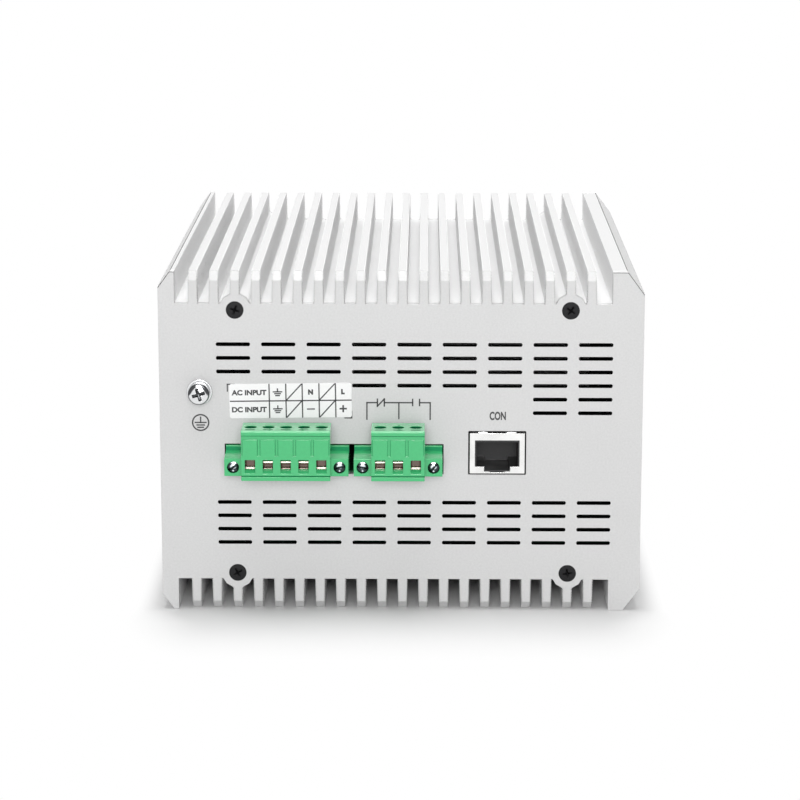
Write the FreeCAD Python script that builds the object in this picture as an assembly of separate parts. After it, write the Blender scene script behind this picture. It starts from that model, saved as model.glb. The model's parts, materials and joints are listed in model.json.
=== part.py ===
import FreeCAD, Part
import math
import os

# Finned industrial network switch in a closed aluminium housing, in millimetres.
# X runs across the housing, Y from the terminal panel (rear) to the port panel (front), Z up.
# The origin lies on the resting plane, in the middle of the housing's footprint.

# Housing
HOUSING_WIDTH = 139.0
HOUSING_HEIGHT = 100.0
HOUSING_DEPTH = 160.0
PANEL_THICKNESS = 2.5
DECK_THICKNESS = 2.8
LEFT_WALL = 3.0
RIGHT_WALL = 6.0
LEFT_BLOCK_WIDTH = 4.7
RIGHT_BLOCK_WIDTH = 9.1
LEFT_CORNER_RUN = 3.4
RIGHT_CORNER_RUN = 4.8
CORNER_SLOPE = 1.32
SEAM_GROOVE = 0.4
SEAM_RIB_WIDTH = 2.0
SEAM_RIB_HEIGHT = 2.5
SEAM_CLEARANCE = 0.15

# Fins
FIN_HEIGHT = 9.25
FIN_PITCH = 6.0
FIN_ROOT = 2.35
FIN_TIP = 2.05
FIN_FIRST_GAP = 4.1
FIN_END_CHAMFER_HEIGHT = 2.5
FIN_END_CHAMFER_DEPTH = 2.5

# Panel screws and the bosses that they enter
SCREW_RADIUS = 1.5
SCREW_HEAD_RADIUS = 2.55
SCREW_LENGTH = 10.0
SCREW_HOLE_CLEARANCE = 0.1
SCREW_BORE_SPARE = 2.0
SCREW_BELOW_FIN_ROOT = 1.85
BOSS_RADIUS = 4.7
FINS_LEFT_OF_BOSS_COUNT = 2
FINS_RIGHT_OF_BOSS_COUNT = 1

# Vent slots
VENT_LENGTH = 9.8
VENT_WIDTH = 1.1
VENT_END_BEVEL = 0.29
VENT_COLUMN_PITCH = 13.0
VENT_ROW_PITCH = 4.0
VENT_LEFT_INSET = 16.45
VENT_RIGHT_INSET = 8.0
VENT_TOP_INSET = 21.05
VENT_BOTTOM_INSET = 20.3
REAR_TOP_ROW_SKIPS = (0, 0, 0, 3, 7, 7)
REAR_BOTTOM_ROWS = 4

# Side holes for a wall or rail bracket
BRACKET_HOLE_RADIUS = 1.65
BRACKET_HOLE_DEPTH = 4.5
BRACKET_SPACING = 60.0

# Earth screw on the terminal panel
GROUND_LEFT_INSET = 11.6
GROUND_HEIGHT = 65.0
GROUND_HEAD_RADIUS = 3.1
GROUND_HEAD_HEIGHT = 2.8
GROUND_HEAD_ROUND = 0.8
GROUND_SCREW_RADIUS = 1.5
GROUND_SCREW_SPARE = 1.0
FLAT_WASHER_RADIUS = 3.7
FLAT_WASHER_THICKNESS = 0.8
SPRING_WASHER_RADIUS = 2.9
SPRING_WASHER_THICKNESS = 1.0
SPRING_WASHER_SPLIT = 0.5
NUT_ACROSS_FLATS = 5.5
NUT_HEIGHT = 2.4

# Boards and the grooves that carry them
BOARD_THICKNESS = 1.6
BOARD_END_GAP = 0.3
BOARD_SIDE_CLEARANCE = 0.2
GROOVE_DEPTH = 1.5
GROOVE_CLEARANCE = 0.2
POWER_BOARD_TOP = 41.1
POWER_BOARD_DEPTH = 100.0
MAIN_BOARD_LIFT = 5.0

# Round pieces are drawn with this many flats
ROUND_SIDES = 10
BOSS_SIDES = 12
GRUB_SIDES = 6
LENS_SIDES = 8
HEXAGON = 6

# Plug-in screw terminals, with heights above the power board
TERMINAL_PITCH = 5.08
POWER_POLES = 5
ALARM_POLES = 3
POWER_LEFT_INSET = 19.0
TERMINAL_GAP = 1.5
TERMINAL_CLEARANCE = 0.35
HEADER_HEIGHT = 8.2
HEADER_DEPTH = 12.0
HEADER_FLANGE_DEPTH = 6.3
HEADER_PROUD = 0.3
HEADER_WALL = 1.05
HEADER_BACK = 3.2
HEADER_RIM = 0.7
HEADER_RIM_DEPTH = 1.5
PIN_SIZE = 1.0
PIN_HEIGHT = 4.1
PIN_REACH = 6.0
PIN_TAIL = 3.0
PIN_CLEARANCE = 0.25
PLUG_BOTTOM = 0.5
PLUG_HEIGHT = 14.6
PLUG_REACH = 12.0
PLUG_REAR_GAP = 1.0
PLUG_EDGE = 0.4
PLUG_CLEARANCE = 0.15
PLUG_LIP_HEIGHT = 1.15
PLUG_GROOVE = 0.35
PLUG_LEDGE_HEIGHT = 1.4
PLUG_BAND_HEIGHT = 1.2
PLUG_PAD_HEIGHT = 4.75
PLUG_PAD_RELIEF = 0.35
PLUG_PAD_GAP = 0.9
ENTRY_WIDTH = 2.9
ENTRY_BOTTOM = 2.6
ENTRY_HEIGHT = 4.0
ENTRY_RAMP_RISE = 1.3
ENTRY_RAMP_DEPTH = 2.0
CLAMP_SETBACK = 2.8
CLAMP_LENGTH = 5.0
CLAMP_WALL = 0.4
CLAMP_SCREW_RADIUS = 1.5
CLAMP_SCREW_DEPTH = 4.0
CLAMP_HOLE_RADIUS = 1.85
FLANGE_BOTTOM = 1.0
FLANGE_HEIGHT = 5.1
FLANGE_REACH = 8.3
FLANGE_SCREW_RADIUS = 1.25
FLANGE_SCREW_HEAD_RADIUS = 1.75
FLANGE_SCREW_HEAD_LENGTH = 3.2
FLANGE_SCREW_SETBACK = 0.3
FLANGE_HOLE_CLEARANCE = 0.1

# RJ45 ports, with heights above the board that carries them
JACK_WIDTH = 15.85
JACK_HEIGHT = 11.9
JACK_DEPTH = 16.0
JACK_PROUD = 0.3
JACK_SHEET = 0.3
JACK_CLEARANCE = 0.4
JACK_TERMINAL_GAP = 7.9
PORT_WIDTH = 12.85
PORT_BOTTOM = 2.0
PORT_TOP = 9.8
LATCH_WIDTH = 7.55
LATCH_BOTTOM = 0.55
KEY_WIDTH = 4.25
CAVITY_WIDTH = 12.0
CAVITY_TOP = 9.2
CAVITY_DEPTH = 12.5
CHANNEL_WIDTH = 7.0
CHANNEL_BOTTOM = 0.9
CONTACT_COUNT = 8
CONTACT_PITCH = 1.02
CONTACT_WIDTH = 0.4
CONTACT_START = 3.5
CONTACT_ROOT = 0.8
CONTACT_DROP = 2.1
CONTACT_THICKNESS = 0.3
FINGER_WIDTH = 2.8
FINGER_SPACING = 8.2
FINGER_START = 0.6
FINGER_LENGTH = 5.5
FINGER_SPARE = 0.05

# Port panel: ganged ports, optical module cages and status lights
LAN_PORTS = 4
LAN_PORT_PITCH = 13.97
LAN_DEPTH = 21.0
LAN_RIGHT_INSET = 16.0
CAGE_WIDTH = 14.5
CAGE_HEIGHT = 9.8
CAGE_DEPTH = 48.0
CAGE_PROUD = 0.8
CAGE_SHEET = 0.4
CAGE_GAP = 2.0
CAGE_LAN_GAP = 10.0
CAGE_CLEARANCE = 0.3
CAGE_SOCKET_WIDTH = 11.0
CAGE_SOCKET_DEPTH = 11.0
CAGE_SOCKET_HEIGHT = 7.0
CAGE_SOCKET_SLOT_HEIGHT = 1.4
CAGE_SOCKET_SLOT_DEPTH = 5.0
LENS_COUNT = 3
LENS_PITCH = 5.0
LENS_RADIUS = 1.5
LENS_PROUD = 0.4
LENS_TAIL = 1.0
LENS_ABOVE_CAGE = 8.0

# Parts on the boards
CHIP_SIZE = 27.0
CHIP_HEIGHT = 2.0
CHIP_PAD_SIZE = 25.0
RELAY_WIDTH = 12.7
RELAY_DEPTH = 16.0
RELAY_HEIGHT = 15.5
PART_GAP = 4.0
CAPACITOR_RADIUS = 8.0
CAPACITOR_HEIGHT = 26.0
CAPACITOR_COUNT = 2
CORE_WIDTH = 34.0
CORE_DEPTH = 26.0
CORE_HEIGHT = 24.0
CORE_LEG = 8.0
CORE_YOKE = 6.0
WINDING_GAP = 0.5
LINK_LENGTH = 36.0
LINK_DEPTH = 5.0

# Planes and centre lines that follow from the sizes above
V = FreeCAD.Vector
LEFT_FACE = -HOUSING_WIDTH / 2
RIGHT_FACE = HOUSING_WIDTH / 2
REAR_FACE = -HOUSING_DEPTH / 2
FRONT_FACE = HOUSING_DEPTH / 2
DECK_DEPTH = FIN_HEIGHT + DECK_THICKNESS
FIN_FIRST_X = LEFT_FACE + LEFT_BLOCK_WIDTH + FIN_FIRST_GAP + FIN_ROOT / 2
FIN_ROOM = RIGHT_FACE - RIGHT_BLOCK_WIDTH - FIN_FIRST_GAP - FIN_ROOT / 2 - FIN_FIRST_X
FIN_X = [FIN_FIRST_X + FIN_PITCH * i for i in range(int(FIN_ROOM / FIN_PITCH) + 1)]
SCREW_X = (FIN_X[FINS_LEFT_OF_BOSS_COUNT], FIN_X[-1 - FINS_RIGHT_OF_BOSS_COUNT])
SCREW_LOW_Z = FIN_HEIGHT + SCREW_BELOW_FIN_ROOT
SCREW_HIGH_Z = HOUSING_HEIGHT - SCREW_LOW_Z
SCREW_PLACES = [(x, z) for x in SCREW_X for z in (SCREW_LOW_Z, SCREW_HIGH_Z)]
SCREW_HEAD_HEIGHT = SCREW_HEAD_RADIUS - SCREW_RADIUS
INNER_LEFT = LEFT_FACE + LEFT_WALL
INNER_RIGHT = RIGHT_FACE - RIGHT_WALL
INNER_REAR = REAR_FACE + PANEL_THICKNESS
INNER_FRONT = FRONT_FACE - PANEL_THICKNESS
GROUND_X = LEFT_FACE + GROUND_LEFT_INSET

POWER_WIDTH = (POWER_POLES + 2) * TERMINAL_PITCH
ALARM_WIDTH = (ALARM_POLES + 2) * TERMINAL_PITCH
POWER_X = LEFT_FACE + POWER_LEFT_INSET + POWER_WIDTH / 2
ALARM_X = POWER_X + POWER_WIDTH / 2 + TERMINAL_GAP + ALARM_WIDTH / 2
CONSOLE_X = ALARM_X + ALARM_WIDTH / 2 + JACK_TERMINAL_GAP + JACK_WIDTH / 2

BOARD_LEFT = INNER_LEFT - GROOVE_DEPTH + BOARD_SIDE_CLEARANCE
BOARD_RIGHT = INNER_RIGHT + GROOVE_DEPTH - BOARD_SIDE_CLEARANCE
BOARD_REAR = INNER_REAR + BOARD_END_GAP
BOARD_FRONT = INNER_FRONT - BOARD_END_GAP
POWER_BOARD_FRONT = BOARD_REAR + POWER_BOARD_DEPTH
POWER_BOARD_BOTTOM = POWER_BOARD_TOP - BOARD_THICKNESS
MAIN_BOARD_BOTTOM = DECK_DEPTH + MAIN_BOARD_LIFT
MAIN_BOARD_TOP = MAIN_BOARD_BOTTOM + BOARD_THICKNESS

LAN_WIDTH = (LAN_PORTS - 1) * LAN_PORT_PITCH + JACK_WIDTH
LAN_X = INNER_RIGHT - LAN_RIGHT_INSET - LAN_WIDTH / 2
LAN_PORT_X = [LAN_PORT_PITCH * (i - (LAN_PORTS - 1) / 2) for i in range(LAN_PORTS)]
CAGE_FIRST_X = LAN_X - LAN_WIDTH / 2 - CAGE_LAN_GAP - CAGE_WIDTH / 2
CAGE_X = (CAGE_FIRST_X, CAGE_FIRST_X - CAGE_WIDTH - CAGE_GAP)
LENS_Z = MAIN_BOARD_TOP + CAGE_HEIGHT + LENS_ABOVE_CAGE


def block(x0, x1, y0, y1, z0, z1):
    """Box between two opposite corners."""
    return Part.makeBox(x1 - x0, y1 - y0, z1 - z0, V(x0, y0, z0))


def prism_along_y(points, y0, y1):
    """Outline of (x, z) points carried from y0 to y1."""
    corners = [V(x, y0, z) for x, z in points]
    return Part.Face(Part.makePolygon(corners + corners[:1])).extrude(V(0, y1 - y0, 0))


def prism_along_x(points, x0, x1):
    """Outline of (y, z) points carried from x0 to x1."""
    corners = [V(x0, y, z) for y, z in points]
    return Part.Face(Part.makePolygon(corners + corners[:1])).extrude(V(x1 - x0, 0, 0))


def flats(radius, sides):
    """Corners of a regular polygon with one flat at the top, standing for a circle."""
    angles = [math.pi * (2 * i + 1) / sides + math.pi / 2 for i in range(sides)]
    return [(radius * math.cos(a), radius * math.sin(a)) for a in angles]


def rod_along_y(x, z, radius, y0, y1, sides=ROUND_SIDES):
    return prism_along_y([(x + a, z + b) for a, b in flats(radius, sides)], y0, y1)


def rod_along_z(x, y, radius, z0, z1, sides=ROUND_SIDES):
    corners = [V(x + a, y + b, z0) for a, b in flats(radius, sides)]
    return Part.Face(Part.makePolygon(corners + corners[:1])).extrude(V(0, 0, z1 - z0))


def cone_along_y(radius0, y0, radius1, y1, sides=ROUND_SIDES):
    """Few-sided cone about the Y axis, between two radii."""
    first = [V(a, y0, b) for a, b in flats(radius0, sides)]
    last = [V(a, y1, b) for a, b in flats(radius1, sides)]
    walls = [[first[i - 1], first[i], last[i], last[i - 1]] for i in range(sides)]
    faces = [Part.Face(Part.makePolygon(w + w[:1])) for w in walls + [first, last]]
    return Part.Solid(Part.makeShell(faces))


def joined(shapes):
    return shapes[0].multiFuse(shapes[1:]).removeSplitter()


def without(shape, tools):
    return shape.cut(Part.makeCompound(tools))


def moved(shape, x, y, z):
    copy = shape.copy()
    copy.translate(V(x, y, z))
    return copy


def on_rear(shape, x, z):
    """Set a piece that is drawn with its panel's outer face at y = 0 into the terminal panel."""
    return moved(shape, x, REAR_FACE, z)


def on_front(shape, x, z):
    """Set a piece that is drawn with its panel's outer face at y = 0 into the port panel."""
    copy = shape.copy()
    copy.rotate(V(0, 0, 0), V(0, 0, 1), 180)
    return moved(copy, x, FRONT_FACE, z)


def save(name, shapes):
    """Write one node, made of one solid or of a group of like solids."""
    shape = shapes[0] if len(shapes) == 1 else Part.makeCompound(shapes)
    shape.exportStep("parts/" + name + ".step")


# Housing outline

def top_edge():
    """Comb-shaped upper outline, from the left face to the right face."""
    top = HOUSING_HEIGHT
    root = top - FIN_HEIGHT
    left_block = LEFT_FACE + LEFT_BLOCK_WIDTH
    right_block = RIGHT_FACE - RIGHT_BLOCK_WIDTH
    points = [
        (LEFT_FACE, top - LEFT_CORNER_RUN * CORNER_SLOPE),
        (LEFT_FACE + LEFT_CORNER_RUN, top),
        (left_block, top),
        (left_block, root),
    ]
    for x in FIN_X:
        points.append((x - FIN_ROOT / 2, root))
        points.append((x - FIN_TIP / 2, top))
        points.append((x + FIN_TIP / 2, top))
        points.append((x + FIN_ROOT / 2, root))
    points += [
        (right_block, root),
        (right_block, top),
        (RIGHT_FACE - RIGHT_CORNER_RUN, top),
        (RIGHT_FACE, top - RIGHT_CORNER_RUN * CORNER_SLOPE),
    ]
    return points


def bottom_edge():
    """Mirror of the upper outline, from the right face to the left face."""
    return [(x, HOUSING_HEIGHT - z) for x, z in reversed(top_edge())]


def fin_end_chamfers():
    """Wedges that bevel both ends of the fins between the corner blocks, above and below."""
    top = HOUSING_HEIGHT
    x0 = LEFT_FACE + LEFT_BLOCK_WIDTH
    x1 = RIGHT_FACE - RIGHT_BLOCK_WIDTH
    wedges = []
    for face, inward in ((REAR_FACE, 1), (FRONT_FACE, -1)):
        depth_y = face + inward * FIN_END_CHAMFER_DEPTH
        upper = [(face, top - FIN_END_CHAMFER_HEIGHT), (face, top), (depth_y, top)]
        lower = [(y, top - z) for y, z in upper]
        wedges += [prism_along_x(upper, x0, x1), prism_along_x(lower, x0, x1)]
    return wedges


def bosses(heights, y0, y1):
    return [rod_along_y(x, z, BOSS_RADIUS, y0, y1, BOSS_SIDES) for x in SCREW_X for z in heights]


def screw_bores(heights):
    """Blind bores that the panel screws enter from both ends of an extrusion."""
    depth = SCREW_LENGTH + SCREW_BORE_SPARE
    bores = []
    for x in SCREW_X:
        for z in heights:
            bores.append(rod_along_y(x, z, SCREW_RADIUS, INNER_REAR, REAR_FACE + depth))
            bores.append(rod_along_y(x, z, SCREW_RADIUS, FRONT_FACE - depth, INNER_FRONT))
    return bores


def board_grooves(wall, outward):
    """Upward outline of the two grooves in a side wall that the boards slide into."""
    points = []
    for bottom in (MAIN_BOARD_BOTTOM, POWER_BOARD_BOTTOM):
        top = bottom + BOARD_THICKNESS + GROOVE_CLEARANCE
        floor = wall + outward * GROOVE_DEPTH
        points += [(wall, bottom), (floor, bottom), (floor, top), (wall, top)]
    return points


def top_cover():
    """U-shaped extrusion: finned deck and grooved side walls, with bracket holes in the thick wall."""
    inner_top = HOUSING_HEIGHT - DECK_DEPTH
    outline = top_edge() + [
        (RIGHT_FACE, DECK_DEPTH + SEAM_GROOVE),
        (RIGHT_FACE - SEAM_GROOVE, DECK_DEPTH),
        (INNER_RIGHT, DECK_DEPTH),
    ]
    outline += board_grooves(INNER_RIGHT, 1)
    outline += [(INNER_RIGHT, inner_top), (INNER_LEFT, inner_top)]
    outline += reversed(board_grooves(INNER_LEFT, -1))
    outline += [
        (INNER_LEFT, DECK_DEPTH),
        (LEFT_FACE + SEAM_GROOVE, DECK_DEPTH),
        (LEFT_FACE, DECK_DEPTH + SEAM_GROOVE),
    ]
    extrusion = prism_along_y(outline, INNER_REAR, INNER_FRONT)
    cover = joined([extrusion] + bosses([SCREW_HIGH_Z], INNER_REAR, INNER_FRONT))
    holes = []
    for y in (-BRACKET_SPACING / 2, BRACKET_SPACING / 2):
        start = V(RIGHT_FACE - BRACKET_HOLE_DEPTH, y, HOUSING_HEIGHT / 2)
        holes.append(Part.makeCylinder(BRACKET_HOLE_RADIUS, BRACKET_HOLE_DEPTH, start, V(1, 0, 0)))
    return without(cover, fin_end_chamfers() + screw_bores([SCREW_HIGH_Z]) + holes)


def base_cover():
    """Finned base, with two ribs that locate the side walls."""
    left_rib = INNER_LEFT + SEAM_CLEARANCE
    right_rib = INNER_RIGHT - SEAM_CLEARANCE
    rib_top = DECK_DEPTH + SEAM_RIB_HEIGHT
    outline = [
        (LEFT_FACE, DECK_DEPTH - SEAM_GROOVE),
        (LEFT_FACE + SEAM_GROOVE, DECK_DEPTH),
        (left_rib, DECK_DEPTH),
        (left_rib, rib_top),
        (left_rib + SEAM_RIB_WIDTH, rib_top),
        (left_rib + SEAM_RIB_WIDTH, DECK_DEPTH),
        (right_rib - SEAM_RIB_WIDTH, DECK_DEPTH),
        (right_rib - SEAM_RIB_WIDTH, rib_top),
        (right_rib, rib_top),
        (right_rib, DECK_DEPTH),
        (RIGHT_FACE - SEAM_GROOVE, DECK_DEPTH),
        (RIGHT_FACE, DECK_DEPTH - SEAM_GROOVE),
    ] + bottom_edge()
    extrusion = prism_along_y(outline, INNER_REAR, INNER_FRONT)
    base = joined([extrusion] + bosses([SCREW_LOW_Z], INNER_REAR, INNER_FRONT))
    return without(base, fin_end_chamfers() + screw_bores([SCREW_LOW_Z]))


# Panel screws

def countersunk_screw():
    """Flat-head screw with its head flush with y = 0 and its shank along +Y."""
    return joined([
        cone_along_y(SCREW_HEAD_RADIUS, 0, SCREW_RADIUS, SCREW_HEAD_HEIGHT),
        rod_along_y(0, 0, SCREW_RADIUS, SCREW_HEAD_HEIGHT, SCREW_LENGTH),
    ])


def countersink():
    """Room for a flat-head screw in a panel whose outer face is y = 0."""
    shank = SCREW_RADIUS + SCREW_HOLE_CLEARANCE
    neck = SCREW_HEAD_RADIUS - shank
    return joined([
        cone_along_y(SCREW_HEAD_RADIUS, 0, shank, neck),
        rod_along_y(0, 0, shank, neck, PANEL_THICKNESS),
    ])


# End panels

def vent_slot():
    """Slot through a panel, centred on x = 0, z = 0, with its four corners bevelled to a round end."""
    half = VENT_LENGTH / 2
    radius = VENT_WIDTH / 2
    right = [(half - VENT_END_BEVEL, radius), (half, radius - VENT_END_BEVEL)]
    right += [(x, -z) for x, z in reversed(right)]
    outline = right + [(-x, z) for x, z in reversed(right)]
    return prism_along_y(outline, 0, PANEL_THICKNESS)


def vent_columns():
    """Centres of the slot columns, as many as the panel's width takes."""
    first = LEFT_FACE + VENT_LEFT_INSET + VENT_LENGTH / 2
    room = RIGHT_FACE - VENT_RIGHT_INSET - VENT_LENGTH / 2 - first
    return [first + VENT_COLUMN_PITCH * i for i in range(int(room / VENT_COLUMN_PITCH) + 1)]


def top_vents(row_skips):
    """Slot rows downwards from the top, each leaving out its first few columns."""
    places = []
    for row, skipped in enumerate(row_skips):
        z = HOUSING_HEIGHT - VENT_TOP_INSET - VENT_ROW_PITCH * row
        places += [(x, z) for x in vent_columns()[skipped:]]
    return places


def bottom_vents(rows):
    heights = [VENT_BOTTOM_INSET + VENT_ROW_PITCH * row for row in range(rows)]
    return [(x, z) for z in heights for x in vent_columns()]


def plain_panel(face, place):
    """Comb-shaped end plate with countersunk holes, its outer face at the given Y."""
    inner = INNER_REAR if face == REAR_FACE else INNER_FRONT
    y0 = min(face, inner)
    y1 = max(face, inner)
    plate = prism_along_y(top_edge() + bottom_edge(), y0, y1)
    plate = joined([plate] + bosses([SCREW_LOW_Z, SCREW_HIGH_Z], y0, y1))
    holes = [place(countersink(), x, z) for x, z in SCREW_PLACES]
    return without(plate, fin_end_chamfers() + holes)


def opening(width, height, clearance):
    """Rectangular cut through a panel around a connector that stands on z = 0."""
    half = width / 2 + clearance
    return block(-half, half, 0, PANEL_THICKNESS, -clearance, height + clearance)


def rear_panel():
    """Terminal panel: vents, one cut-out for both terminals, the jack cut-out and the earth hole."""
    slot = vent_slot()
    vents = top_vents(REAR_TOP_ROW_SKIPS) + bottom_vents(REAR_BOTTOM_ROWS)
    cuts = [on_rear(slot, x, z) for x, z in vents]
    terminals_left = POWER_X - POWER_WIDTH / 2
    terminals_right = ALARM_X + ALARM_WIDTH / 2
    terminals = opening(terminals_right - terminals_left, HEADER_HEIGHT, TERMINAL_CLEARANCE)
    cuts.append(on_rear(terminals, (terminals_left + terminals_right) / 2, POWER_BOARD_TOP))
    cuts.append(on_rear(opening(JACK_WIDTH, JACK_HEIGHT, JACK_CLEARANCE), CONSOLE_X, POWER_BOARD_TOP))
    earth = GROUND_SCREW_RADIUS + SCREW_HOLE_CLEARANCE
    cuts.append(rod_along_y(GROUND_X, GROUND_HEIGHT, earth, REAR_FACE, INNER_REAR))
    return without(plain_panel(REAR_FACE, on_rear), cuts)


def lens_places():
    """Status lights, in one row above the optical module cages."""
    middle = sum(CAGE_X) / len(CAGE_X)
    return [(middle + LENS_PITCH * (i - (LENS_COUNT - 1) / 2), LENS_Z) for i in range(LENS_COUNT)]


def front_panel():
    """Port panel: cut-outs for the ganged ports and the module cages, and the light holes."""
    cuts = [on_front(opening(LAN_WIDTH, JACK_HEIGHT, JACK_CLEARANCE), LAN_X, MAIN_BOARD_TOP)]
    for x in CAGE_X:
        cuts.append(on_front(opening(CAGE_WIDTH, CAGE_HEIGHT, CAGE_CLEARANCE), x, MAIN_BOARD_TOP))
    for x, z in lens_places():
        cuts.append(rod_along_y(x, z, LENS_RADIUS, INNER_FRONT, FRONT_FACE, LENS_SIDES))
    return without(plain_panel(FRONT_FACE, on_front), cuts)


# Earth screw

def ground_screw():
    """Pan-head screw standing on its washers, with y = 0 at the panel's face."""
    seat = -FLAT_WASHER_THICKNESS - SPRING_WASHER_THICKNESS
    face = seat - GROUND_HEAD_HEIGHT
    shoulder = face + GROUND_HEAD_ROUND
    tip = PANEL_THICKNESS + NUT_HEIGHT + GROUND_SCREW_SPARE
    return joined([
        cone_along_y(GROUND_HEAD_RADIUS - GROUND_HEAD_ROUND, face, GROUND_HEAD_RADIUS, shoulder),
        rod_along_y(0, 0, GROUND_HEAD_RADIUS, shoulder, seat),
        rod_along_y(0, 0, GROUND_SCREW_RADIUS, seat, tip),
    ])


def washer(outer, thickness, top):
    """Flat ring around the earth screw, its outer side at y = top."""
    ring = rod_along_y(0, 0, outer, top, top + thickness)
    return ring.cut(rod_along_y(0, 0, GROUND_SCREW_RADIUS, top, top + thickness))


def spring_washer():
    """Ring with one slanted split."""
    top = -FLAT_WASHER_THICKNESS - SPRING_WASHER_THICKNESS
    ring = washer(SPRING_WASHER_RADIUS, SPRING_WASHER_THICKNESS, top)
    half = SPRING_WASHER_SPLIT / 2
    shift = SPRING_WASHER_THICKNESS / 2
    split = [
        (-half - shift, top),
        (half - shift, top),
        (half + shift, -FLAT_WASHER_THICKNESS),
        (-half + shift, -FLAT_WASHER_THICKNESS),
    ]
    corners = [V(x, y, 0) for x, y in split]
    slit = Part.Face(Part.makePolygon(corners + corners[:1])).extrude(V(0, 0, SPRING_WASHER_RADIUS))
    return ring.cut(slit)


def ground_nut():
    """Hexagon nut behind the terminal panel."""
    end = PANEL_THICKNESS + NUT_HEIGHT
    bar = rod_along_y(0, 0, NUT_ACROSS_FLATS / math.sqrt(3), PANEL_THICKNESS, end, HEXAGON)
    return bar.cut(rod_along_y(0, 0, GROUND_SCREW_RADIUS, PANEL_THICKNESS, end))


# Plug-in screw terminals: y = 0 is the panel's outer face, z = 0 the board's top

def pole_x(poles):
    return [TERMINAL_PITCH * (i - (poles - 1) / 2) for i in range(poles)]


def flange_x(poles):
    reach = TERMINAL_PITCH * (poles + 1) / 2
    return (-reach, reach)


def header_cavity(clearance):
    """Half width, lowest and highest level of the header's socket, less a clearance."""
    return HEADER_WALL + clearance, HEADER_HEIGHT - HEADER_WALL - clearance


def header(poles):
    """Shrouded socket with a solid threaded flange at each end."""
    half_body = poles * TERMINAL_PITCH / 2
    half_all = half_body + TERMINAL_PITCH
    front = -HEADER_PROUD
    flange_end = front + HEADER_FLANGE_DEPTH
    body_end = front + HEADER_DEPTH
    solid = joined([
        block(-half_all, half_all, front, flange_end, 0, HEADER_HEIGHT),
        block(-half_body, half_body, front, body_end, 0, HEADER_HEIGHT),
    ])
    low, high = header_cavity(0)
    half_socket = half_body - HEADER_WALL / 2
    rim_end = front + HEADER_RIM_DEPTH
    cuts = [
        block(-half_socket, half_socket, front, body_end - HEADER_BACK, low, high),
        block(-half_all, half_all, front, rim_end, HEADER_RIM, HEADER_HEIGHT - HEADER_RIM),
    ]
    pin = PIN_SIZE / 2
    for x in pole_x(poles):
        cuts.append(block(x - pin, x + pin, front, body_end, PIN_HEIGHT - pin, PIN_HEIGHT + pin))
    middle = FLANGE_BOTTOM + FLANGE_HEIGHT / 2
    for x in flange_x(poles):
        cuts.append(rod_along_y(x, middle, FLANGE_SCREW_RADIUS, front, flange_end))
    return without(solid, cuts)


def header_pins(poles):
    """Square pins, bent down behind the header and through the board."""
    end = -HEADER_PROUD + HEADER_DEPTH + PIN_SIZE
    start = end - PIN_SIZE - HEADER_BACK - PIN_REACH
    half = PIN_SIZE / 2
    outline = [
        (start, PIN_HEIGHT - half),
        (start, PIN_HEIGHT + half),
        (end, PIN_HEIGHT + half),
        (end, -PIN_TAIL),
        (end - PIN_SIZE, -PIN_TAIL),
        (end - PIN_SIZE, PIN_HEIGHT - half),
    ]
    return [prism_along_x(outline, x - half, x + half) for x in pole_x(poles)]


def header_pin_holes(poles):
    """Holes in the board for the pins' tails."""
    middle = -HEADER_PROUD + HEADER_DEPTH + PIN_SIZE / 2
    half = PIN_SIZE / 2 + PIN_CLEARANCE
    return [block(x - half, x + half, middle - half, middle + half, -BOARD_THICKNESS, 0)
            for x in pole_x(poles)]


def entry_top():
    return ENTRY_BOTTOM + ENTRY_HEIGHT


def clamp_y():
    """Front and back of a wire clamp inside the plug."""
    front = -PLUG_REACH + CLAMP_SETBACK
    return front, front + CLAMP_LENGTH


def clamp_screw_y():
    front, back = clamp_y()
    return (front + back) / 2


def plug_pad_top():
    """Top of the raised pads on the plug's front, below the ledge and the band."""
    return PLUG_BOTTOM + PLUG_HEIGHT - PLUG_LEDGE_HEIGHT - PLUG_BAND_HEIGHT


def plug_pad_gaps(poles):
    """Grooves that part the pads, with half a groove at each end."""
    front = -PLUG_REACH
    top = plug_pad_top()
    half = PLUG_PAD_GAP / 2
    edges = [TERMINAL_PITCH * (i - poles / 2) for i in range(poles + 1)]
    return [block(x - half, x + half, front, front + PLUG_PAD_RELIEF, top - PLUG_PAD_HEIGHT, top)
            for x in edges]


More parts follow.
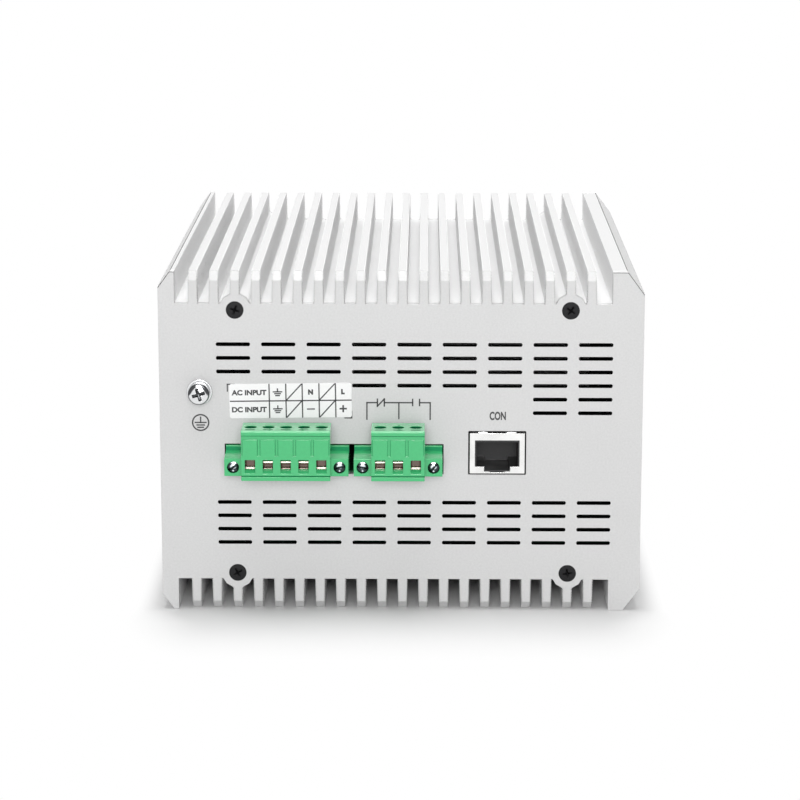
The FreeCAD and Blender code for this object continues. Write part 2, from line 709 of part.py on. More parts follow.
def plug_body(poles):
    """Moulded body, its tail in the header and the two screw flanges."""
    half_body = poles * TERMINAL_PITCH / 2
    half_all = half_body + TERMINAL_PITCH
    front = -PLUG_REACH
    top = PLUG_BOTTOM + PLUG_HEIGHT
    lip = PLUG_BOTTOM + PLUG_LIP_HEIGHT
    ledge = top - PLUG_LEDGE_HEIGHT
    pad_top = plug_pad_top()
    side = [
        (-HEADER_PROUD, PLUG_BOTTOM),
        (front, PLUG_BOTTOM),
        (front, lip),
        (front + PLUG_GROOVE, lip),
        (front + PLUG_GROOVE, lip + PLUG_GROOVE),
        (front, lip + PLUG_GROOVE),
        (front, pad_top),
        (front + PLUG_PAD_RELIEF, pad_top),
        (front + PLUG_PAD_RELIEF, ledge),
        (front, ledge),
        (front, top - PLUG_EDGE),
        (front + PLUG_EDGE, top),
        (-PLUG_REAR_GAP, top),
        (-PLUG_REAR_GAP, HEADER_HEIGHT),
        (-HEADER_PROUD, HEADER_HEIGHT),
    ]
    low, high = header_cavity(PLUG_CLEARANCE)
    half_tail = half_body - HEADER_WALL / 2 - PLUG_CLEARANCE
    tail_end = -HEADER_PROUD + HEADER_DEPTH - HEADER_BACK - PLUG_CLEARANCE
    flange_back = -HEADER_PROUD + HEADER_RIM_DEPTH
    half_flange = half_all - HEADER_RIM - PLUG_CLEARANCE
    flange_top = FLANGE_BOTTOM + FLANGE_HEIGHT
    return joined([
        prism_along_x(side, -half_body, half_body),
        block(-half_tail, half_tail, -HEADER_PROUD, tail_end, low, high),
        block(-half_all, half_all, -FLANGE_REACH, -HEADER_PROUD, FLANGE_BOTTOM, flange_top),
        block(-half_flange, half_flange, -HEADER_PROUD, flange_back, FLANGE_BOTTOM, flange_top),
    ])


def plug_pole_cuts(x):
    """Everything that one pole takes out of the plug: wire entry, screw well and pin way."""
    front = -PLUG_REACH
    top = PLUG_BOTTOM + PLUG_HEIGHT
    ramp_top = ENTRY_BOTTOM + ENTRY_RAMP_RISE
    clamp_back = clamp_y()[1]
    entry = [
        (front, ENTRY_BOTTOM),
        (front, entry_top()),
        (clamp_back, entry_top()),
        (clamp_back, ramp_top),
        (front + ENTRY_RAMP_DEPTH, ramp_top),
    ]
    pin = PIN_SIZE / 2 + PIN_CLEARANCE
    return [
        prism_along_x(entry, x - ENTRY_WIDTH / 2, x + ENTRY_WIDTH / 2),
        rod_along_z(x, clamp_screw_y(), CLAMP_HOLE_RADIUS, entry_top(), top),
        block(x - pin, x + pin, clamp_back, HEADER_DEPTH, PIN_HEIGHT - pin, PIN_HEIGHT + pin),
    ]


def plug(poles):
    """Plug housing with its pads, wire entries, screw wells and flange holes."""
    cuts = plug_pad_gaps(poles)
    for x in pole_x(poles):
        cuts += plug_pole_cuts(x)
    middle = FLANGE_BOTTOM + FLANGE_HEIGHT / 2
    head = FLANGE_SCREW_HEAD_RADIUS + FLANGE_HOLE_CLEARANCE
    shoulder = -FLANGE_REACH + FLANGE_SCREW_SETBACK + FLANGE_SCREW_HEAD_LENGTH
    shank = FLANGE_SCREW_RADIUS + FLANGE_HOLE_CLEARANCE
    for x in flange_x(poles):
        cuts.append(rod_along_y(x, middle, head, -FLANGE_REACH, shoulder))
        cuts.append(rod_along_y(x, middle, shank, shoulder, HEADER_RIM_DEPTH))
    return without(plug_body(poles), cuts)


def plug_clamps(poles):
    """Square metal cages that grip the wires, one in each entry."""
    front, back = clamp_y()
    low = ENTRY_BOTTOM + ENTRY_RAMP_RISE
    half = ENTRY_WIDTH / 2
    bore = half - CLAMP_WALL
    cages = []
    for x in pole_x(poles):
        cage = block(x - half, x + half, front, back, low, entry_top())
        room = block(x - bore, x + bore, front, back, low + CLAMP_WALL, entry_top() - CLAMP_WALL)
        cages.append(cage.cut(room))
    return cages


def plug_clamp_screws(poles):
    """Headless screws at the bottom of the wells, standing on the cages' roofs."""
    top = PLUG_BOTTOM + PLUG_HEIGHT - CLAMP_SCREW_DEPTH
    y = clamp_screw_y()
    return [rod_along_z(x, y, CLAMP_SCREW_RADIUS, entry_top(), top, GRUB_SIDES) for x in pole_x(poles)]


def plug_flange_screws(poles):
    """Screws that hold the plug in the header's flanges."""
    face = -FLANGE_REACH + FLANGE_SCREW_SETBACK
    shoulder = face + FLANGE_SCREW_HEAD_LENGTH
    tip = -HEADER_PROUD + HEADER_FLANGE_DEPTH
    middle = FLANGE_BOTTOM + FLANGE_HEIGHT / 2
    screws = []
    for x in flange_x(poles):
        screws.append(joined([
            rod_along_y(x, middle, FLANGE_SCREW_HEAD_RADIUS, face, shoulder),
            rod_along_y(x, middle, FLANGE_SCREW_RADIUS, shoulder, tip),
        ]))
    return screws


def save_terminal(name, poles, x):
    """Write one header and its plug, standing on the power board."""
    pieces = {
        "header": [header(poles)],
        "header_pins": header_pins(poles),
        "plug": [plug(poles)],
        "plug_clamps": plug_clamps(poles),
        "plug_clamp_screws": plug_clamp_screws(poles),
        "plug_flange_screws": plug_flange_screws(poles),
    }
    for piece, shapes in pieces.items():
        save(name + "_" + piece, [on_rear(shape, x, POWER_BOARD_TOP) for shape in shapes])


# RJ45 ports: y = 0 is the panel's outer face, z = 0 the board's top, latch side down

def port_window():
    """Outline of the shield's window, with the latch notch and the key notch below it."""
    half = PORT_WIDTH / 2
    latch = LATCH_WIDTH / 2
    key = KEY_WIDTH / 2
    right = [(key, JACK_SHEET), (key, LATCH_BOTTOM), (latch, LATCH_BOTTOM), (latch, PORT_BOTTOM),
             (half, PORT_BOTTOM), (half, PORT_TOP)]
    return right + [(-x, z) for x, z in reversed(right)]


def port_cavity():
    """Outline of the insulator's cavity, with the latch channel below it."""
    half = CAVITY_WIDTH / 2
    latch = CHANNEL_WIDTH / 2
    right = [(latch, CHANNEL_BOTTOM), (latch, PORT_BOTTOM), (half, PORT_BOTTOM), (half, CAVITY_TOP)]
    return right + [(-x, z) for x, z in reversed(right)]


def port_contacts():
    """Eight slanting spring contacts, from the cavity's roof to its back wall."""
    face = -JACK_PROUD + JACK_SHEET
    start = face + CONTACT_START
    back = face + CAVITY_DEPTH
    outline = [
        (start, CAVITY_TOP),
        (start + CONTACT_ROOT, CAVITY_TOP),
        (back, CAVITY_TOP - CONTACT_DROP),
        (back, CAVITY_TOP - CONTACT_DROP - CONTACT_THICKNESS),
    ]
    half = CONTACT_WIDTH / 2
    offsets = [CONTACT_PITCH * (i - (CONTACT_COUNT - 1) / 2) for i in range(CONTACT_COUNT)]
    return [prism_along_x(outline, x - half, x + half) for x in offsets]


def jack_shield(ports, width, depth):
    """Thin metal skin, open at the back, with one window for each port."""
    front = -JACK_PROUD
    half = width / 2
    back = front + depth
    skin = block(-half, half, front, back, 0, JACK_HEIGHT)
    window = prism_along_y(port_window(), front, front + JACK_SHEET)
    room = block(-half + JACK_SHEET, half - JACK_SHEET, front + JACK_SHEET, back,
                 JACK_SHEET, JACK_HEIGHT - JACK_SHEET)
    return without(skin, [room] + [moved(window, x, 0, 0) for x in ports])


def jack_insulator(ports, width, depth):
    """Moulded block that fills the shield, with one cavity for each port."""
    front = -JACK_PROUD + JACK_SHEET
    half = width / 2 - JACK_SHEET
    body = block(-half, half, front, -JACK_PROUD + depth, JACK_SHEET, JACK_HEIGHT - JACK_SHEET)
    cavity = prism_along_y(port_cavity(), front, front + CAVITY_DEPTH)
    return without(body, [moved(cavity, x, 0, 0) for x in ports])


def earthing_fingers():
    """Two sprung ramps on the console jack's shield, which press towards the panel's edge."""
    start = -JACK_PROUD + FINGER_START
    crest = JACK_HEIGHT + JACK_CLEARANCE - FINGER_SPARE
    outline = [(start, JACK_HEIGHT), (start, crest), (start + FINGER_LENGTH, JACK_HEIGHT)]
    half = FINGER_WIDTH / 2
    offsets = (-FINGER_SPACING / 2, FINGER_SPACING / 2)
    return [prism_along_x(outline, x - half, x + half) for x in offsets]


def save_jack(name, ports, width, depth, extras, place):
    """Write one jack: its shield with any extra ramps, its insulator and its contacts."""
    contacts = [moved(contact, x, 0, 0) for x in ports for contact in port_contacts()]
    pieces = {
        "shield": [joined([jack_shield(ports, width, depth)] + extras)],
        "insulator": [jack_insulator(ports, width, depth)],
        "contacts": contacts,
    }
    for piece, shapes in pieces.items():
        save(name + "_" + piece, [place(shape) for shape in shapes])


def console_place(shape):
    return on_rear(shape, CONSOLE_X, POWER_BOARD_TOP)


def lan_place(shape):
    return on_front(shape, LAN_X, MAIN_BOARD_TOP)


# Optical module cages and status lights

def cage_socket_y():
    """Front and back of the edge connector at the end of a cage."""
    back = -CAGE_PROUD + CAGE_DEPTH - CAGE_SHEET
    return back - CAGE_SOCKET_DEPTH, back


def module_cage():
    """Folded sheet tube, closed at the back, with an opening in its floor over the connector."""
    front = -CAGE_PROUD
    half = CAGE_WIDTH / 2
    back = front + CAGE_DEPTH
    socket_half = CAGE_SOCKET_WIDTH / 2
    socket_front, socket_back = cage_socket_y()
    tube = block(-half, half, front, back, 0, CAGE_HEIGHT)
    return without(tube, [
        block(-half + CAGE_SHEET, half - CAGE_SHEET, front, back - CAGE_SHEET,
              CAGE_SHEET, CAGE_HEIGHT - CAGE_SHEET),
        block(-socket_half, socket_half, socket_front, socket_back, 0, CAGE_SHEET),
    ])


def module_socket():
    """Edge connector that a module plugs into."""
    half = CAGE_SOCKET_WIDTH / 2
    front, back = cage_socket_y()
    middle = (CAGE_SHEET + CAGE_SOCKET_HEIGHT) / 2
    slot = CAGE_SOCKET_SLOT_HEIGHT / 2
    slot_back = front + CAGE_SOCKET_SLOT_DEPTH
    inset = half - CAGE_SHEET * 2
    body = block(-half, half, front, back, 0, CAGE_SOCKET_HEIGHT)
    return body.cut(block(-inset, inset, front, slot_back, middle - slot, middle + slot))


def status_lens():
    """Clear pin, pressed through the panel."""
    return rod_along_y(0, 0, LENS_RADIUS, -LENS_PROUD, PANEL_THICKNESS + LENS_TAIL, LENS_SIDES)


# Boards

def main_board():
    """Switch board, in the lower grooves from panel to panel."""
    return block(BOARD_LEFT, BOARD_RIGHT, BOARD_REAR, BOARD_FRONT, MAIN_BOARD_BOTTOM, MAIN_BOARD_TOP)


def power_board():
    """Power board, in the upper grooves behind the terminals, with holes for their pins."""
    board = block(BOARD_LEFT, BOARD_RIGHT, BOARD_REAR, POWER_BOARD_FRONT,
                  POWER_BOARD_BOTTOM, POWER_BOARD_TOP)
    holes = []
    for poles, x in ((POWER_POLES, POWER_X), (ALARM_POLES, ALARM_X)):
        holes += [on_rear(hole, x, POWER_BOARD_TOP) for hole in header_pin_holes(poles)]
    return without(board, holes)


# Parts on the boards

def switch_chip():
    """Flat chip under the main board, in the middle of its depth."""
    half = CHIP_SIZE / 2
    return block(-half, half, -half, half, MAIN_BOARD_BOTTOM - CHIP_HEIGHT, MAIN_BOARD_BOTTOM)


def chip_pad():
    """Soft pad that carries the chip's heat into the base."""
    half = CHIP_PAD_SIZE / 2
    return block(-half, half, -half, half, DECK_DEPTH, MAIN_BOARD_BOTTOM - CHIP_HEIGHT)


def parts_row_y():
    """Where the row of parts behind the terminals starts."""
    return REAR_FACE - HEADER_PROUD + HEADER_DEPTH + PIN_SIZE + PART_GAP


def alarm_relay():
    half = RELAY_WIDTH / 2
    y = parts_row_y()
    return block(ALARM_X - half, ALARM_X + half, y, y + RELAY_DEPTH,
                 POWER_BOARD_TOP, POWER_BOARD_TOP + RELAY_HEIGHT)


def bulk_capacitors():
    """Upright cans behind the power header."""
    pitch = 2 * CAPACITOR_RADIUS + PART_GAP
    y = parts_row_y() + CAPACITOR_RADIUS
    top = POWER_BOARD_TOP + CAPACITOR_HEIGHT
    offsets = [pitch * (i - (CAPACITOR_COUNT - 1) / 2) for i in range(CAPACITOR_COUNT)]
    return [rod_along_z(POWER_X + x, y, CAPACITOR_RADIUS, POWER_BOARD_TOP, top) for x in offsets]


def winding_reach():
    """Half width of the winding, and how far it stands out beyond the core's middle leg."""
    reach = CORE_WIDTH / 2 - CORE_LEG / 2 - WINDING_GAP
    return reach, reach - CORE_LEG / 2


def transformer_box():
    """Corners of the transformer's core, behind the capacitors and the relay."""
    swell = winding_reach()[1]
    y = parts_row_y() + max(2 * CAPACITOR_RADIUS, RELAY_DEPTH) + PART_GAP + swell
    return POWER_X - CORE_WIDTH / 2, POWER_X + CORE_WIDTH / 2, y, y + CORE_DEPTH


def transformer_core():
    """Ferrite core with three legs, standing on the board."""
    x0, x1, y0, y1 = transformer_box()
    low = POWER_BOARD_TOP + CORE_YOKE
    high = POWER_BOARD_TOP + CORE_HEIGHT - CORE_YOKE
    half_leg = CORE_LEG / 2
    core = block(x0, x1, y0, y1, POWER_BOARD_TOP, POWER_BOARD_TOP + CORE_HEIGHT)
    return without(core, [
        block(x0 + half_leg, POWER_X - half_leg, y0, y1, low, high),
        block(POWER_X + half_leg, x1 - half_leg, y0, y1, low, high),
    ])


def transformer_winding():
    """Wound bobbin around the core's middle leg, with cut-off corners."""
    x0, x1, y0, y1 = transformer_box()
    low = POWER_BOARD_TOP + CORE_YOKE
    high = POWER_BOARD_TOP + CORE_HEIGHT - CORE_YOKE
    half_leg = CORE_LEG / 2
    reach, swell = winding_reach()
    corner = swell / 2
    right = [
        (reach - corner, y0 - swell),
        (reach, y0 - swell + corner),
        (reach, y1 + swell - corner),
        (reach - corner, y1 + swell),
    ]
    outline = right + [(-x, y) for x, y in reversed(right)]
    corners = [V(POWER_X + x, y, low) for x, y in outline]
    coil = Part.Face(Part.makePolygon(corners + corners[:1])).extrude(V(0, 0, high - low))
    return coil.cut(block(POWER_X - half_leg, POWER_X + half_leg, y0, y1, low, high))


def board_link():
    """Connector that stands between the two boards."""
    half = LINK_LENGTH / 2
    y1 = POWER_BOARD_FRONT - PART_GAP
    return block(-half, half, y1 - LINK_DEPTH, y1, MAIN_BOARD_TOP, POWER_BOARD_BOTTOM)


os.makedirs("parts", exist_ok=True)

save("top_cover", [top_cover()])
save("base_cover", [base_cover()])
save("rear_panel", [rear_panel()])
save("front_panel", [front_panel()])
save("rear_panel_screws", [on_rear(countersunk_screw(), x, z) for x, z in SCREW_PLACES])
save("front_panel_screws", [on_front(countersunk_screw(), x, z) for x, z in SCREW_PLACES])

flat_washer = washer(FLAT_WASHER_RADIUS, FLAT_WASHER_THICKNESS, -FLAT_WASHER_THICKNESS)
save("ground_screw", [on_rear(ground_screw(), GROUND_X, GROUND_HEIGHT)])
save("ground_flat_washer", [on_rear(flat_washer, GROUND_X, GROUND_HEIGHT)])
save("ground_spring_washer", [on_rear(spring_washer(), GROUND_X, GROUND_HEIGHT)])
save("ground_nut", [on_rear(ground_nut(), GROUND_X, GROUND_HEIGHT)])

save_terminal("power", POWER_POLES, POWER_X)
save_terminal("alarm", ALARM_POLES, ALARM_X)
save_jack("console_jack", [0], JACK_WIDTH, JACK_DEPTH, earthing_fingers(), console_place)
save_jack("lan_jack", LAN_PORT_X, LAN_WIDTH, LAN_DEPTH, [], lan_place)
for number, cage_x in enumerate(CAGE_X, 1):
    save("sfp_cage_" + str(number), [on_front(module_cage(), cage_x, MAIN_BOARD_TOP)])
    save("sfp_connector_" + str(number), [on_front(module_socket(), cage_x, MAIN_BOARD_TOP)])
save("status_lenses", [on_front(status_lens(), x, z) for x, z in lens_places()])

save("main_board", [main_board()])
save("power_board", [power_board()])
save("switch_chip", [switch_chip()])
save("chip_pad", [chip_pad()])
save("alarm_relay", [alarm_relay()])
save("bulk_capacitors", bulk_capacitors())
save("transformer_core", [transformer_core()])
save("transformer_winding", [transformer_winding()])
save("board_link", [board_link()])
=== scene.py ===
# %% [markdown]
# # Dressing a finned network switch
# The solids of the switch come in as a fixed frame: two finned aluminium extrusions, two end panels,
# plug-in terminals, jacks, boards and screws. This lesson gives every one of them its finish, rounds
# the edges that catch light, and adds what is too fine for the solids: serrated fins, driver recesses,
# the printed signs and a small label. Sizes of the switch are in millimetres, and its meshes in metres.

# %% Load the frame
import json
import math

import bmesh
import bpy
import numpy as np
from mathutils import Euler, Matrix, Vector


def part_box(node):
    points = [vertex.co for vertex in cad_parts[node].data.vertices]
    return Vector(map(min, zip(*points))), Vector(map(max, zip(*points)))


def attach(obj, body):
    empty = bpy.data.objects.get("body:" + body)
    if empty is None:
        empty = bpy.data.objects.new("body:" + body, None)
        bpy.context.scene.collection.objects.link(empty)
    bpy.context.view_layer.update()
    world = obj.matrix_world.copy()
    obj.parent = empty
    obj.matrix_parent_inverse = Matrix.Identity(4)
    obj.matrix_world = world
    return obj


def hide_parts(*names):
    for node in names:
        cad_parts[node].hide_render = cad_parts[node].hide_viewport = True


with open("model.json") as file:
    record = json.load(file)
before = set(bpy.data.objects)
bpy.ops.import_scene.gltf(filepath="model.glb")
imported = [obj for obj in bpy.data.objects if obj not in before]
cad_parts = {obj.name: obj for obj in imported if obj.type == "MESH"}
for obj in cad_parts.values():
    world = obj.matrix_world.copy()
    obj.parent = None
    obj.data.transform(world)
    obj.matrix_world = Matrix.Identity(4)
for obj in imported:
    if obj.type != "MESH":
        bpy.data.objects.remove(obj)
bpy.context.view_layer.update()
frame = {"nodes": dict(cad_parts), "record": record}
MM = 0.001
print(len(frame["nodes"]), "solids in the frame")

# %% [markdown]
# ## The camera
# A product portrait is taken with a long lens from far away, so that the box hardly tapers. The place
# and the lens below were worked out from edges of known length, such as the jack and the pole pitch.

# %% Camera
CAMERA_PLACE = np.array((6.80, -861.48, 235.64))
CAMERA_PITCH = math.radians(12.4765)
CAMERA_YAW = math.radians(0.5189)
CAMERA_ROLL = math.radians(0.0427)
CAMERA_LENS = 125.3

lens = bpy.data.cameras.new("portrait_camera")
lens.lens = CAMERA_LENS
lens.clip_start = 0.01
camera = bpy.data.objects.new("portrait_camera", lens)
camera.location = CAMERA_PLACE * MM
aim = Euler((math.pi / 2 - CAMERA_PITCH, 0.0, CAMERA_YAW)).to_matrix()
camera.rotation_euler = (aim @ Matrix.Rotation(CAMERA_ROLL, 3, "Z")).to_euler()
bpy.context.scene.collection.objects.link(camera)
bpy.context.scene.camera = camera
bpy.context.scene.view_settings.view_transform = "Standard"
print("camera at", camera.location[:])

# %% [markdown]
# ## Node helpers
# Materials in Blender are small networks. Four helpers keep the code for them short: one adds a node and
# fills its inputs, with a number, a colour or another node's output, one adds a sum, one mixes two colours,
# and one starts a node group, which is a network with named sockets that several materials can share.


# %% Node helpers
def add(tree, kind, inputs=None, **options):
    """Add a shader node, set its options, and fill or link its inputs."""
    node = tree.nodes.new(kind)
    for name, value in options.items():
        setattr(node, name, value)
    for name, value in (inputs or {}).items():
        if isinstance(value, bpy.types.NodeSocket):
            tree.links.new(value, node.inputs[name])
        else:
            node.inputs[name].default_value = value
    return node


def maths(tree, operation, *values):
    """Output of one Math node: an operation on up to three numbers or outputs."""
    return add(tree, "ShaderNodeMath", dict(enumerate(values)), operation=operation).outputs["Value"]


def mixed(tree, share, first, second):
    """Output of one Mix node: it goes from an output's colour towards a second colour by the share."""
    return add(tree, "ShaderNodeMix", {0: share, 6: first, 7: (*second, 1.0)}, data_type="RGBA").outputs[2]


def start_group(name, inputs, outputs):
    """New shader group, from inputs {label: (kind, value)} and outputs {label: kind}, with both end nodes."""
    tree = bpy.data.node_groups.new(name, "ShaderNodeTree")
    for label, (kind, value) in inputs.items():
        socket = tree.interface.new_socket(label, in_out="INPUT", socket_type="NodeSocket" + kind)
        if value is not None:
            socket.default_value = value
    for label, kind in outputs.items():
        tree.interface.new_socket(label, in_out="OUTPUT", socket_type="NodeSocket" + kind)
    return tree, tree.nodes.new("NodeGroupInput"), tree.nodes.new("NodeGroupOutput")


# %% [markdown]
# ## A fine grain
# Nothing real is one flat colour. A blasted and coated surface, or moulded plastic, has a fine grain that
# shows as a faint speckle. A picture of it would blur in a close-up, so it is a noise in space. It is the
# first of three effects that the finishes share, and each is a group with its own sockets.


# %% Fine grain
def make_grain():
    """Colour times 1 plus or minus Contrast, following a fine noise, and that noise as a height."""
    tree, start, end = start_group(
        "fine grain",
        {"Vector": ("Vector", None), "Color": ("Color", None), "Size": ("Float", 1000.0),
         "Contrast": ("Float", 0.05)},
        {"Color": "Color", "Height": "Float"},
    )
    noise = add(tree, "ShaderNodeTexNoise", {
        "Vector": start.outputs["Vector"], "Scale": start.outputs["Size"], "Detail": 3.0, "Roughness": 0.65})
    swing = add(tree, "ShaderNodeMapRange", {
        "Value": noise.outputs["Fac"], "From Min": 0.25, "From Max": 0.75, "To Min": -1.0, "To Max": 1.0})
    tint = maths(tree, "MULTIPLY_ADD", swing.outputs["Result"], start.outputs["Contrast"], 1.0)
    colour = add(tree, "ShaderNodeVectorMath", {0: start.outputs["Color"], "Scale": tint}, operation="SCALE")
    tree.links.new(colour.outputs["Vector"], end.inputs["Color"])
    tree.links.new(noise.outputs["Fac"], end.inputs["Height"])
    return tree


GRAIN = make_grain()
print("group", GRAIN.name)

# %% [markdown]
# ## An uneven gloss
# Handling and the tool leave some spots a little shinier than others. One roughness all over would look
# lifeless, so a soft noise moves it between a lowest and a highest value.


# %% Uneven gloss
def make_gloss():
    """Roughness between Low and High, following a soft noise with blotches of a given size."""
    tree, start, end = start_group(
        "uneven gloss",
        {"Vector": ("Vector", None), "Size": ("Float", 60.0), "Low": ("Float", 0.3), "High": ("Float", 0.5)},
        {"Roughness": "Float"},
    )
    noise = add(tree, "ShaderNodeTexNoise", {
        "Vector": start.outputs["Vector"], "Scale": start.outputs["Size"], "Detail": 4.0})
    spread = add(tree, "ShaderNodeMapRange", {
        "Value": noise.outputs["Fac"], "From Min": 0.3, "From Max": 0.7,
        "To Min": start.outputs["Low"], "To Max": start.outputs["High"]})
    tree.links.new(spread.outputs["Result"], end.inputs["Roughness"])
    return tree


GLOSS = make_gloss()
print("group", GLOSS.name)

# %% [markdown]
# ## Drawn lines
# A die or a roller leaves fine lines along an extrusion or a sheet. They could be a wave pattern, but that
# repeats too evenly, so the same kind of noise is squeezed until it runs along one axis.


# %% Drawn lines
def make_lines():
    """Height of fine lines: noise on a space that is squeezed by Stretch, so that it runs along one axis."""
    tree, start, end = start_group(
        "drawn lines",
        {"Vector": ("Vector", None), "Stretch": ("Vector", (1.0, 1.0, 1.0))},
        {"Height": "Float"},
    )
    squeezed = add(tree, "ShaderNodeVectorMath", {
        0: start.outputs["Vector"], 1: start.outputs["Stretch"]}, operation="MULTIPLY")
    noise = add(tree, "ShaderNodeTexNoise", {
        "Vector": squeezed.outputs["Vector"], "Scale": 1.0, "Detail": 2.0})
    tree.links.new(noise.outputs["Fac"], end.inputs["Height"])
    return tree


LINES = make_lines()
print("group", LINES.name)

# %% [markdown]
# ## One recipe for a finish
# Every finish below is a Principled shader: its colour comes through the grain, its roughness from the
# uneven gloss, and a slight bump from the grain or from drawn lines. Constants such as Metallic are set
# on the shader itself. A finish is then one call with the numbers that make it what it is.


# %% Finish recipe
def finish(name, colour, gloss, metallic=0.0, grain=(900.0, 0.05), blotch=60.0, bump=0.02, lines=None,
           painted_shade=None, bounce=None, constants=None):
    """Material with grain (size, contrast), gloss (lowest, highest roughness) and bump height in mm.

    Where a piece has an attribute called painted_shade, its colour goes towards the painted_shade colour by
    that share: this paints shade into the colour, and where the share drops, highlights.
    The bounce colour, if any, is what the finish throws back onto pale neighbours.
    """
    material = bpy.data.materials.new(name)
    material.use_nodes = True
    material.diffuse_color = (*colour, 1.0)
    tree = material.node_tree
    shader = tree.nodes["Principled BSDF"]
    place = add(tree, "ShaderNodeTexCoord").outputs["Object"]
    speckle = add(tree, "ShaderNodeGroup", {
        "Vector": place, "Color": (*colour, 1.0), "Size": grain[0], "Contrast": grain[1]}, node_tree=GRAIN)
    sheen = add(tree, "ShaderNodeGroup", {
        "Vector": place, "Size": blotch, "Low": gloss[0], "High": gloss[1]}, node_tree=GLOSS)
    height = speckle.outputs["Height"]
    if lines:
        drawn = add(tree, "ShaderNodeGroup", {"Vector": place, "Stretch": lines}, node_tree=LINES)
        height = drawn.outputs["Height"]
    relief = add(tree, "ShaderNodeBump", {"Height": height, "Strength": 1.0, "Distance": bump * MM})
    shader.inputs["Metallic"].default_value = metallic
    for socket, value in (constants or {}).items():
        shader.inputs[socket].default_value = value
    shown = speckle.outputs["Color"]
    if bounce:
        share = add(tree, "ShaderNodeLightPath").outputs["Is Diffuse Ray"]
        shown = mixed(tree, share, shown, bounce)
    if painted_shade:
        share = add(tree, "ShaderNodeAttribute", attribute_name="painted_shade").outputs["Fac"]
        shown = mixed(tree, share, shown, painted_shade)
    tree.links.new(shown, shader.inputs["Base Color"])
    tree.links.new(sheen.outputs["Roughness"], shader.inputs["Roughness"])
    tree.links.new(relief.outputs["Normal"], shader.inputs["Normal"])
    return material


# %% [markdown]
# ## The finishes
# The housing is blasted aluminium under a thin silver-white coat, so it reads as pale satin with a fine
# speckle. Its outer sides and fin tips get a darker copy of that coat as painted shade, and the panels are
# greyer. Fasteners are black oxide or bright zinc, the terminals are green polyamide, and the jack has a
# tinned steel shell round a black moulding. Near black is painted shade on slot walls and inside the housing,
# and the joints are near black too. A table keeps all of them in one place, so that two finishes are easy to
# compare.

# %% Finishes
DIE_LINES = (9000.0, 40.0, 9000.0)
SHEET_LINES = (300.0, 3000.0, 6000.0)
NO_SHINE = {"Specular IOR Level": 0.0}


def grey(shade):
    """A colour with the same share of red, green and blue."""
    return (shade, shade, shade)


def housing_coat(name, shade):
    """Satin coat of the extrusions: a faint speckle, with the lines of the die along them."""
    return finish(name, grey(shade), (0.42, 0.58), metallic=0.03, grain=(1700.0, 0.03), bump=0.010,
                  lines=DIE_LINES, constants=NO_SHINE)


